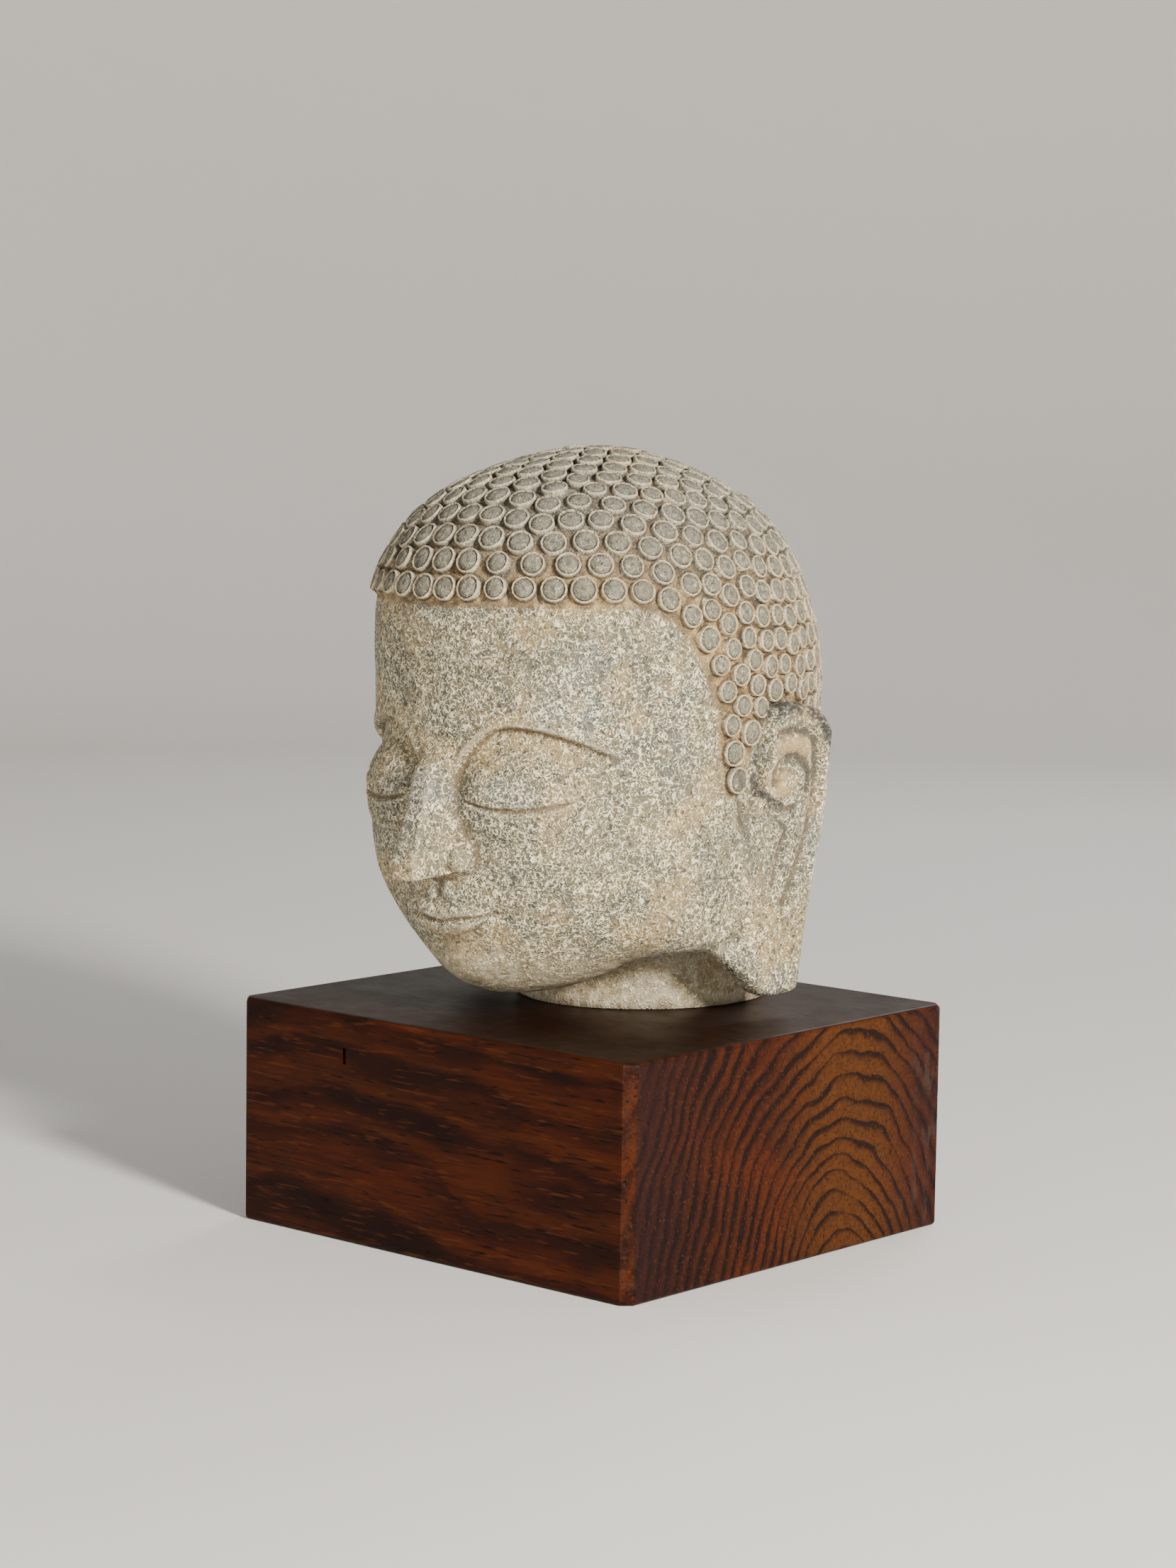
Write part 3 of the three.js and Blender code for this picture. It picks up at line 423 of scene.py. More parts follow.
def front_directions(x, z):
    """Directions to the front of the form at distances from the middle plane and heights."""
    y = np.full(len(x), -HALF_DEPTH)
    for _ in range(10):
        found = form_points(towards(np.stack([x, y, z], 1)))
        y = found[:, 1] - (found[:, 2] - z) * 0.2
    return towards(np.stack([x, y, z], 1))


def rows_along(start, end, step, height, offsets):
    """Rows of points that follow a carved line at small distances above and below it."""
    x = np.linspace(start, end, math.ceil((end - start) / step) + 1)
    return np.concatenate([np.stack([x, height(x) + offset], 1) for offset in offsets])


def carved_rows():
    step = 1.25
    brow = [-2.4, -1.4, -0.9, -0.4, 0.2, 1.2, 2.6]
    lid = [-0.7, -0.25, 0.25, 0.8, 1.8]
    seam = [-1.6, -0.8, 0.0, 0.8, 1.6]
    rows = [
        rows_along(BROW.inner_x, BROW.outer_x, step, brow_height, brow),
        rows_along(EYE.inner_x - 1, EYE.outer_x + 1, step, eye_height, lid),
        rows_along(EYE.inner_x + 3, EYE.outer_x - 3, step,
                   lambda x: eye_height(x) - eye_opening(x), [-2.4, -1.4, -0.6, -0.1]),
        rows_along(0.1, MOUTH.half_width + 2, step, mouth_height, seam),
        rows_along(0.1, MOUTH.half_width - 1, step,
                   lambda x: mouth_height(x) + upper_lip(x), [-0.5, 0.1, 0.8]),
        rows_along(0.1, MOUTH.half_width * 0.9, step,
                   lambda x: mouth_height(x) - lower_lip(x), [-0.8, 0, 0.8]),
        rows_along(0.1, WING.x + WING.radius, 1.1, nose_base,
                   [-2.2, -1.5, -1.0, -0.5, 0, 0.5, 1, 1.5, 2, 2.5, 3.2]),
    ]
    points = np.concatenate(rows)
    both = np.concatenate([points, points * [-1, 1]])
    return front_directions(both[:, 0], both[:, 1])


def neck_directions():
    """The neck's cut rim, and rows that follow the fold under the jaw."""
    turn = 2 * math.pi * np.arange(NECK_POINTS) / NECK_POINTS
    depth = np.where(np.cos(turn) < 0, NECK_FRONT, NECK_REAR)

    def wall(z):
        across = NECK_X + (NECK_WIDTH + NECK_FLARE * z) * np.sin(turn)
        return towards(np.stack([across, NECK_Y + (depth + NECK_FLARE * z) * np.cos(turn), z], 1))

    rim = wall(np.zeros(len(turn)))
    low, high = np.zeros(len(turn)), np.full(len(turn), 0.9 * STAR[2])
    for _ in range(24):
        middle = (low + high) / 2
        directions = wall(middle)
        past = exit_distance(directions, inside_ovoid) > exit_distance(directions, inside_neck)
        high = np.where(past, middle, high)
        low = np.where(past, low, middle)
    fold = np.concatenate([wall(low + offset)[low > 3] for offset in NECK_ROWS])
    return rim, fold


def spaced(candidates, kept, distance):
    """The candidates that keep a distance from the points kept."""
    tree = tree_of(kept)
    return np.array([tree.find(point)[2] for point in candidates]) > distance


def sphere_triangles(directions):
    """Triangles that join directions, in the order seen from outside, open only below the neck."""
    pole = unit(np.array([NECK_X, NECK_Y, 0]) - STAR)
    u = unit(np.cross(pole, [1.0, 0, 0]))
    v = np.cross(u, pole)
    flat = np.stack([directions @ u, directions @ v], 1) / (1 - directions @ pole)[:, None]
    _, _, faces, source, _, _ = delaunay_2d_cdt([Vector(p) for p in flat], [], [], 0, 1e-9)
    first = np.array([ids[0] for ids in source])
    return first[np.array(faces)]


def open_edges(triangles):
    """Directed edges that only one triangle uses."""
    edges = {(a, b) for t in triangles for a, b in ((t[0], t[1]), (t[1], t[2]), (t[2], t[0]))}
    return [(a, b) for a, b in edges if (b, a) not in edges]


def pit_directions(centres):
    triangles = sphere_triangles(towards(centres))
    a, b, c = (centres[triangles[:, k]] for k in range(3))
    longest = np.stack([np.linalg.norm(p - q, axis=1) for p, q in ((a, b), (b, c), (c, a))]).max(0)
    return towards((a + b + c)[longest < PITCH * 1.7] / 3)


# For carved skin and for the rest: how closely its points lie, and how far they keep from the carved lines.
SKIN_GRIDS = [(True, 0.95, 0.6), (False, 2.2, 1.3)]
CARVED_ZONE = Form(half_width=70.0, front=-30.0, low=14.0, high=134.0, side=60.0, beside=4.0)
HAIR_EDGE_POINTS, HAIR_EDGE_DROPS, HAIR_CLEARANCE, NECK_CLEARANCE = 520, (0.6, 2.0), 2.6, 1.6


def is_carved(points):
    """Which points lie on the carved face, or beside the carved lines in front of an ear."""
    x, y, z = mirrored(points)
    c = CARVED_ZONE
    face = (x < c.half_width) & (y < c.front) & (z > c.low) & (z < c.high)
    beside = np.minimum(path_distance(y, z, EAR_FRONT), path_distance(y, z, EAR_SHADOW_LINE))
    return face | ((x > c.side) & (beside < c.beside))


def skin_directions(centres):
    """Directions over skin and neck: close where the face is carved, wider elsewhere."""
    rim, fold = neck_directions()
    angles = -180 + 360 * (np.arange(HAIR_EDGE_POINTS) + 0.5) / HAIR_EDGE_POINTS
    edge = [towards(form_at(angles, hairline(angles) - drop)) for drop in HAIR_EDGE_DROPS]
    base = np.concatenate([rim, fold, carved_rows(), *edge])
    base = base[spaced(form_points(base), centres, FOOT_RADIUS + 0.5)]
    kept = form_points(base)
    found = [base]
    for carved, grid, clearance in SKIN_GRIDS:
        directions = spiral(grid)
        points = form_points(directions)
        wanted = (above_hairline(points) < -HAIR_CLEARANCE) & (points[:, 2] > NECK_CLEARANCE)
        wanted &= is_carved(points) == carved
        directions = directions[wanted]
        found.append(directions[spaced(points[wanted], kept, clearance)])
    directions = np.concatenate(found)
    return directions[spaced(form_points(directions), centres, FOOT_RADIUS + 0.5)]


def joined(centres):
    """All directions, knob centres first, and the triangles over them, with a pit between any two knobs."""
    directions = np.concatenate([towards(centres), pit_directions(centres), skin_directions(centres)])
    while True:
        triangles = sphere_triangles(directions)
        sides = [triangles[:, corners] for corners in ([0, 1], [1, 2], [2, 0])]
        edges = np.sort(np.concatenate(sides), axis=1)
        edges = np.unique(edges[edges[:, 1] < len(centres)], axis=0)
        if len(edges) == 0:
            return directions, triangles
        pits = unit(directions[edges[:, 0]] + directions[edges[:, 1]])
        directions = np.concatenate([directions, pits])


def ring_round(centre, fan):
    """The corners round one vertex, in order."""
    following = {}
    for triangle in fan:
        i = triangle.index(centre)
        following[triangle[(i + 1) % 3]] = triangle[(i + 2) % 3]
    ring = [next(iter(following))]
    while len(ring) < len(following):
        ring.append(following[ring[-1]])
    return ring


def stitched(inner, inner_turns, outer, outer_turns):
    """Triangles between two closed rings, both counter-clockwise, joined by their angles."""
    start = int(np.argmin(np.mod(outer_turns - inner_turns[0], 2 * math.pi)))
    outer = outer[start:] + outer[:start]
    turns = np.mod(np.roll(outer_turns, -start) - inner_turns[0], 2 * math.pi)
    inner_at = np.append(inner_turns - inner_turns[0], 2 * math.pi)
    outer_at = np.append(turns, 2 * math.pi + turns[0])
    n, m = len(inner), len(outer)
    made, j, k = [], 0, 0
    while j < n or k < m:
        if k < m and (j == n or outer_at[k + 1] <= inner_at[j + 1]):
            made.append((inner[j % n], outer[k], outer[(k + 1) % m]))
            k += 1
        else:
            made.append((inner[j % n], outer[k % m], inner[(j + 1) % n]))
            j += 1
    return made


# The groove between cheek and ear, as a path of (y, height).
EAR_FRONT = [(-14, 111), (-10.5, 105.1), (-6.9, 99.8), (-3.2, 93.2), (-1, 85.4), (0.4, 76.3), (-1, 68)]
EAR_FRONT_DEPTH, EAR_FRONT_WIDTH, EAR_FRONT_LOW = 1.8, 2.0, (64.0, 74.0)


def ear_front_cut(points):
    x, y, z = mirrored(points)
    groove = EAR_FRONT_DEPTH * hump(path_distance(y, z, EAR_FRONT), EAR_FRONT_WIDTH)
    return groove * (x > CARVED_ZONE.side) * smooth(*EAR_FRONT_LOW, z)


def head_mesh():
    """Vertices and triangles of the head without ears, in its own units above the neck's cut."""
    centres = knob_centres()
    directions, triangles = joined(centres)
    points = form_points(directions)
    normals = form_normals(directions)
    lift = face_relief(points) + HAIR_FLOOR * smooth(-1, 2, above_hairline(points)) - ear_front_cut(points)
    lift = lift + unevenness(points, HEAD_WAVES)
    rim = points[:, 2] < 0.5
    sideways = unit((points - [NECK_X, NECK_Y, 0]) * [1, 1, 0])
    normals = np.where(rim[:, None], sideways, normals)
    placed = points + normals * lift[:, None]
    placed[:, 2] += nostril_lift(points)
    placed[rim, 2] = 0

    fans = {}
    faces = []
    for triangle in triangles.tolist():
        knob = [i for i in triangle if i < len(centres)]
        if knob:
            fans.setdefault(knob[0], []).append(triangle)
        else:
            faces.append(tuple(triangle))

    rng = np.random.RandomState(11)
    apart = np.linalg.norm(centres[:, None] - centres[None], axis=2)
    nearest = np.where(apart > 0, apart, FAR).min(1)
    turns = 2 * math.pi * np.arange(KNOB_SIDES) / KNOB_SIDES
    vertices = [placed]
    radii = []
    total = len(placed)
    for i, centre in enumerate(centres):
        normal = normals[i]
        side = unit(np.cross([0, 0, 1.0], normal))
        up = np.cross(normal, side)
        radius = min(FOOT_RADIUS * 0.99, 0.497 * nearest[i]) * rng.uniform(*VARIETY.radius)
        radii.append(radius)
        height = KNOB_HEIGHT * rng.uniform(*VARIETY.height)
        lean = rng.normal(0, VARIETY.lean, 2)
        oval = rng.uniform(-VARIETY.oval, VARIETY.oval)
        rings = []
        for share, level in KNOB_SECTION:
            r = radius * share * (1 + rng.normal(0, VARIETY.edge, KNOB_SIDES))
            a, b = r * (1 + oval) * np.cos(turns), r * (1 - oval) * np.sin(turns)
            rise = HAIR_FLOOR + height * level + level * (a * lean[0] + b * lean[1])
            rise = rise + rng.normal(0, VARIETY.level, KNOB_SIDES)
            vertices.append(centre + a[:, None] * side + b[:, None] * up + rise[:, None] * normal)
            rings.append(list(range(total, total + KNOB_SIDES)))
            total += KNOB_SIDES
        vertices.append((centre + (HAIR_FLOOR + height * KNOB_MIDDLE) * normal)[None])
        middle = total
        total += 1
        outer = ring_round(i, fans[i])
        away = placed[outer] - centre
        faces.extend(stitched(rings[0], turns, outer, np.arctan2(away @ up, away @ side)))
        for wide, narrow in zip(rings, rings[1:]):
            for k in range(KNOB_SIDES):
                after = (k + 1) % KNOB_SIDES
                faces.append((wide[k], wide[after], narrow[after]))
                faces.append((wide[k], narrow[after], narrow[k]))
        faces.extend((rings[-1][k], rings[-1][(k + 1) % KNOB_SIDES], middle) for k in range(KNOB_SIDES))
    vertices.append(np.array([[NECK_X, NECK_Y, 0.0]]))
    faces.extend((b, a, total) for a, b in open_edges(faces))
    return np.concatenate(vertices), faces, centres, np.array(radii)


# Ears: a plate with its outline as height, front and rear, seen from the side.
EAR_OUTLINE = np.array([
    (9, 17, 31), (11, 12, 35.5), (14, 8, 36.3), (22, -1, 36.5), (30, -9, 36.8), (42, -15, 37.2),
    (52, -18, 38), (63, -18, 38.8), (75, -13, 40.5), (84, -5, 41.5), (91, 1, 41.8), (100, 4.5, 42),
    (114, 5.5, 42), (124, 6.5, 41.9), (130, 8, 37.5), (134, 9.5, 33), (136.5, 14, 27), (137.3, 18, 23),
], dtype=float)
EAR_X, EAR_FLARE, EAR_LEAN, EAR_LEVEL_Y, EAR_LEVEL_Z = 95.6, 0.15, 0.085, 20.0, 120.0
EAR_THICKNESS, EAR_EDGE = 12.0, 4.5
EAR_SINK, EAR_SINK_WIDTH, EAR_SINK_LOW, EAR_SINK_HIGH = 8.0, 18.0, (24.0, 38.0), (78.0, 96.0)
EAR_RIM, EAR_RIM_HEIGHT, EAR_RIM_LOW = 5.5, 1.6, (34.0, 62.0)
# Carved lines of the ear as paths of (y, height), with depth and half-width.
EAR_FOLD = ([(11, 123.8), (16, 125.2), (21.1, 125.6), (28.2, 124), (31.8, 120.8), (33, 115.6), (33.6, 107.8),
             (34, 98.7), (32, 80.6), (28, 67.9), (21.4, 50)], 2.8, 2.3)
EAR_HOLLOW = ([(10.5, 104), (10.8, 107.5), (12.8, 110.9), (17.4, 113.6), (22.5, 113.8), (28, 111),
               (30.6, 106), (30.6, 100)], 3.4, 2.8)
EAR_HOOK = ([(4, 99.8), (7.5, 95.8), (12.9, 93.2), (20.4, 91.5)], 2.3, 1.9)
EAR_NOTCH = ([(2.4, 95.4), (8, 91.2), (13.7, 87), (19.3, 82.8), (16.8, 76.5), (15, 68.8), (13.8, 60)],
             1.7, 1.6)
EAR_BULGE = Form(y=20.0, z=103.0, radius=8.5, height=1.5)
# Where lichen blackens the ear, where a dark line paints the shadow at the foot of the ear's front edge, and
# where ochre earth lies in it.
EAR_BLACK = [(6.5, 133.5), (13, 135.2), (20, 135.5), (27, 133.3), (32.6, 131.1), (38.6, 124.3), (41, 114)]
EAR_SHADOW_LINE = [(6.4, 131.6), (4, 126), (2.7, 119.7), (1.9, 112), (2.1, 104.4), (4, 99.8), (7.5, 95.8),
           (12.9, 93.2), (20.4, 91.5)]
EAR_OCHRE = [(12, 118), (18, 120), (24, 119.5), (28.5, 116)]
EAR_HOLLOW_MIDDLE, EAR_HOLLOW_RADIUS = (15.0, 103.0), 6.0
EAR_SHADES = [(EAR_BLACK, 1.0, 3.2), (EAR_SHADOW_LINE, 1.0, 1.9), (EAR_OCHRE, 1.0, 4.5), (EAR_FRONT, 1.0, 1.6)]
# The roll along the ear's front edge.
EAR_ROLL, EAR_ROLL_INSET, EAR_ROLL_WIDTH, EAR_ROLL_LOW = 1.1, 3.2, 3.0, (90.0, 98.0)
# What counts as ear: how far it stands out of the plain form, and where.
EAR_STANDS_OUT, EAR_SIDE, EAR_FRONT_Y, EAR_REAR_Y, EAR_TOP_Z = (4.5, 6.0), 70.0, -24.0, 46.0, 141.0
EAR_ROWS, EAR_COLUMNS = 136, 38


def path_distance(y, z, path):
    """Distance to a path of straight stretches in the ear's own plane."""
    least = np.full(np.shape(y), 1e9)
    for (y0, z0), (y1, z1) in zip(path, path[1:]):
        along = (y - y0) * (y1 - y0) + (z - z0) * (z1 - z0)
        t = np.clip(along / ((y1 - y0) ** 2 + (z1 - z0) ** 2), 0, 1)
        least = np.minimum(least, np.hypot(y - y0 - t * (y1 - y0), z - z0 - t * (z1 - z0)))
    return least


def ear_line(y, z, line):
    path, depth, half_width = line
    return depth * hump(path_distance(y, z, path), half_width)


def ear_relief(y, z, front, rear):
    """Raised rim, the long fold inside it and the hooked hollow."""
    inset = np.minimum(rear - y, EAR_OUTLINE[-1, 0] - z)
    rim = EAR_RIM_HEIGHT * smooth(*EAR_RIM_LOW, z) * (1 - smooth(0.6 * EAR_RIM, 1.3 * EAR_RIM, inset))
    cut = np.maximum(ear_line(y, z, EAR_FOLD), ear_line(y, z, EAR_HOLLOW))
    roll = EAR_ROLL * hump(y - front - EAR_ROLL_INSET, EAR_ROLL_WIDTH) * smooth(*EAR_ROLL_LOW, z)
    b = EAR_BULGE
    bulge = b.height * hump(np.hypot(y - b.y, z - b.z), b.radius)
    return rim + roll + bulge - cut - ear_line(y, z, EAR_HOOK) - ear_line(y, z, EAR_NOTCH)


def ear_plane(y, z, front):
    """The ear's plane, which sinks into the jaw in front of the lobe."""
    merged = between(EAR_SINK_LOW, EAR_SINK_HIGH, z) * (1 - smooth(0, EAR_SINK_WIDTH, y - front))
    return EAR_X + EAR_FLARE * (y - EAR_LEVEL_Y) + EAR_LEAN * (z - EAR_LEVEL_Z) - EAR_SINK * merged


def rounded_edge(inset):
    """The ear's share of its thickness at a distance from its edge."""
    return np.sqrt(1 - (1 - np.clip(inset / EAR_EDGE, 0, 1)) ** 2)


def ear_mesh():
    """A closed plate on the +X side, as rings from the lobe to the top."""
    bottom, top = EAR_OUTLINE[0, 0], EAR_OUTLINE[-1, 0]
    i = np.arange(EAR_ROWS + 1) / EAR_ROWS
    heights = bottom + (top - bottom) * (0.8 * i + 0.1 * (1 - np.cos(np.pi * i)))
    j = np.arange(2 * EAR_COLUMNS)
    outer = j <= EAR_COLUMNS
    even = np.where(outer, j / EAR_COLUMNS, 2 - j / EAR_COLUMNS)
    share = 0.5 * even + 0.25 * (1 - np.cos(np.pi * even))
    front = np.interp(heights, EAR_OUTLINE[:, 0], EAR_OUTLINE[:, 1])[:, None]
    rear = np.interp(heights, EAR_OUTLINE[:, 0], EAR_OUTLINE[:, 2])[:, None]
    z = np.repeat(heights[:, None], len(j), 1)
    y = front + (rear - front) * share
    tip = np.maximum(0.4, rounded_edge(np.minimum(z - bottom, top - z)))
    round_off = np.maximum(0.12, rounded_edge(np.minimum(y - front, rear - y))) * tip
    relief = np.where(outer, ear_relief(y, z, front, rear) * round_off, 0)
    half = EAR_THICKNESS / 2
    x = ear_plane(y, z, front) - half + np.where(outer, 1, -1) * half * round_off + relief
    rough = unevenness(np.stack([x, y, z], 2).reshape(-1, 3), EAR_WAVES).reshape(x.shape)
    rings = np.stack([x + rough * np.where(outer, 1, 0), y, z], 2)
    count = len(j)
    vertices = np.concatenate([rings.reshape(-1, 3), rings[0].mean(0)[None], rings[-1].mean(0)[None]])
    faces = []
    for a in range(EAR_ROWS):
        for k in range(count):
            after = (k + 1) % count
            faces.append((a * count + k, a * count + after, (a + 1) * count + after, (a + 1) * count + k))
    last = EAR_ROWS * count
    for k in range(count):
        after = (k + 1) % count
        faces.append((len(vertices) - 2, after, k))
        faces.append((len(vertices) - 1, last + k, last + after))
    return vertices, faces


def new_object(name, vertices, faces):
    mesh = bpy.data.meshes.new(name)
    mesh.from_pydata([tuple(v) for v in vertices], [], faces)
    mesh.update()
    made = bpy.data.objects.new(name, mesh)
    bpy.context.scene.collection.objects.link(made)
    return made


def carved_head():
    """The finished head as one closed mesh, with the distances that its material reads."""
    vertices, faces, centres, radii = head_mesh()
    head = new_object("carved_head", (vertices + SEAT) * UNIT, faces)
    ear_points, ear_faces = ear_mesh()
    for mirror in (1, -1):
        turned = ear_faces if mirror == 1 else [face[::-1] for face in ear_faces]
        ear = new_object("ear", (ear_points * [mirror, 1, 1] + SEAT) * UNIT, turned)
        join = head.modifiers.new("join", "BOOLEAN")
        join.operation = "UNION"
        join.solver = "MANIFOLD"
        join.object = ear
        graph = bpy.context.evaluated_depsgraph_get()
        joined_mesh = bpy.data.meshes.new_from_object(head.evaluated_get(graph))
        head.modifiers.clear()
        head.data = joined_mesh
        bpy.data.objects.remove(ear)
    head.data.name = "carved_head"
    return head, centres, radii


def flowed_together(points, edges, weights, rounds=40):
    """Points eased towards the mean of their neighbours, where the weights are above nothing."""
    eased = points.copy()
    active = weights > 0
    near = active[edges[:, 0]] | active[edges[:, 1]]
    a, b = edges[near].T
    count = np.bincount(np.concatenate([a, b]), minlength=len(points)).clip(1)[:, None]
    for _ in range(rounds):
        total = np.zeros_like(eased)
        np.add.at(total, a, eased[b])
        np.add.at(total, b, eased[a])
        eased += (weights[:, None] * 0.5) * np.where(active[:, None], total / count - eased, 0)
    return eased


def smoothed_values(values, edges, rounds):
    a, b = edges.T
    count = np.bincount(edges.ravel(), minlength=len(values)).clip(1)
    for _ in range(rounds):
        total = np.bincount(a, values[b], len(values)) + np.bincount(b, values[a], len(values))
        values = 0.5 * values + 0.5 * total / count
    return values


def read(collection, name, width, kind=float):
    """One property of every vertex or edge, as rows of numbers."""
    values = np.empty(len(collection) * width, dtype=kind)
    collection.foreach_get(name, values)
    return values.reshape(-1, width)


# The seam between lobe and jaw that is eased: its place behind the ear's front, and where it ends.
JOINT = Form(inset=3.0, half_width=9.0, low=(34.0, 44.0), high=(80.0, 92.0), side=(62.0, 72.0), least=0.05)


def ease_lobes(mesh, points, edges):
    """Flow the lobes into the jaw, and give the points their new places."""
    x, y, z = mirrored(points)
    front = np.interp(z, EAR_OUTLINE[:, 0], EAR_OUTLINE[:, 1])
    joint = hump(y - front - JOINT.inset, JOINT.half_width) * between(JOINT.low, JOINT.high, z)
    joint = joint * smooth(*JOINT.side, x)
    points = flowed_together(points, edges, np.where(joint > JOINT.least, joint, 0))
    mesh.vertices.foreach_set("co", ((points + SEAT) * UNIT).ravel())
    mesh.update()
    return points


def hollowness(mesh, points, edges):
    """How hollow the surface is at each point: above nothing in a hollow, below it on a ridge."""
    count = len(points)
    normals = read(mesh.vertices, "normal", 3)
    a, b = edges.T
    along = points[b] - points[a]
    length = np.linalg.norm(along, axis=1).clip(1e-6)
    bend_a = (along * normals[a]).sum(1) / length
    bend_b = -(along * normals[b]).sum(1) / length
    share = np.bincount(edges.ravel(), minlength=count).clip(1)
    hollow = (np.bincount(a, bend_a, count) + np.bincount(b, bend_b, count)) / share
    return smoothed_values(hollow, edges, 2)


def finish_surface(head, centres, radii):
    """Ease the lobes into the jaw, then store for each vertex what the stone's colour depends on."""
    mesh = head.data
    edges = read(mesh.edges, "vertices", 2, np.int64)
    points = ease_lobes(mesh, read(mesh.vertices, "co", 3) / UNIT - SEAT, edges)
    tree = tree_of(centres)
    index = np.array([tree.find(point)[1] for point in points])
    offset = points - centres[index]
    outward = form_normals(towards(centres))[index]
    offset -= outward * (offset * outward).sum(1)[:, None]
    form = form_points(towards(points))
    beyond = np.linalg.norm(points - STAR, axis=1) - np.linalg.norm(form - STAR, axis=1)
    x, y, z = mirrored(points)
    side = x > EAR_SIDE
    ear = smooth(*EAR_STANDS_OUT, beyond) * side * (y > EAR_FRONT_Y) * (y < EAR_REAR_Y) * (z < EAR_TOP_Z)
    carved = np.maximum.reduce([
        ear_line(y, z, EAR_HOLLOW) / EAR_HOLLOW[1],
        ear_line(y, z, EAR_FOLD) / EAR_FOLD[1] * (0.45 + 0.55 * smooth(98, 112, z)),
        0.8 * ear_line(y, z, EAR_NOTCH) / EAR_NOTCH[1],
    ])
    black, shadow_line, band, cleft_shade = (ear_line(y, z, line) for line in EAR_SHADES)
    middle = np.hypot(y - EAR_HOLLOW_MIDDLE[0], z - EAR_HOLLOW_MIDDLE[1])
    stored = {
        # painted shade in the groove between cheek and ear
        "cheek_edge_shade": (x > CARVED_ZONE.side) * cleft_shade * smooth(66, 76, z),
        "knob": np.minimum(np.linalg.norm(offset, axis=1) / radii[index], 2),
        "tone": np.random.RandomState(5).uniform(0, 1, len(centres))[index],
        "hair": smooth(-2.5, 0.5, above_hairline(points)) * (1 - ear),
        "hollow": hollowness(mesh, points, edges),
        "ear": ear,
        "ear_cut": ear * carved,
        # lichen on the ear's top, and a painted shadow line at the foot of its front edge
        "lichen_and_shadow": side * np.maximum(black, shadow_line),
        "ochre": ear * np.maximum(band, hump(middle, EAR_HOLLOW_RADIUS)),
    }
    for name, values in stored.items():
        layer = mesh.attributes.new(name, "FLOAT", "POINT")
        layer.data.foreach_set("value", values.astype(np.float32))


# The photograph's view, as solved from the block's corners: metres, and the lens in millimetres.
CAMERA_PLACE, CAMERA_TARGET = Vector((1.02925, -1.16848, 0.3616)), Vector((0.0, -0.00595, 0.1968))
CAMERA_LENS, CAMERA_SENSOR, CAMERA_ROLL = 81.37, 36.0, math.radians(0.84)


def aimed(thing, place, target):
    """A camera or light at a place, turned to a target."""
    holder = bpy.data.objects.new(thing.name, thing)
    holder.location = place
    holder.rotation_mode = "QUATERNION"
    holder.rotation_quaternion = (target - Vector(place)).to_track_quat("-Z", "Y")
    bpy.context.scene.collection.objects.link(holder)
    return holder


def camera():
    made = bpy.data.cameras.new("camera")
    made.sensor_width = CAMERA_SENSOR
    made.lens = CAMERA_LENS
    holder = aimed(made, CAMERA_PLACE, CAMERA_TARGET)
    holder.rotation_quaternion = holder.rotation_quaternion @ Quaternion((0, 0, 1), CAMERA_ROLL)
    bpy.context.scene.camera = holder


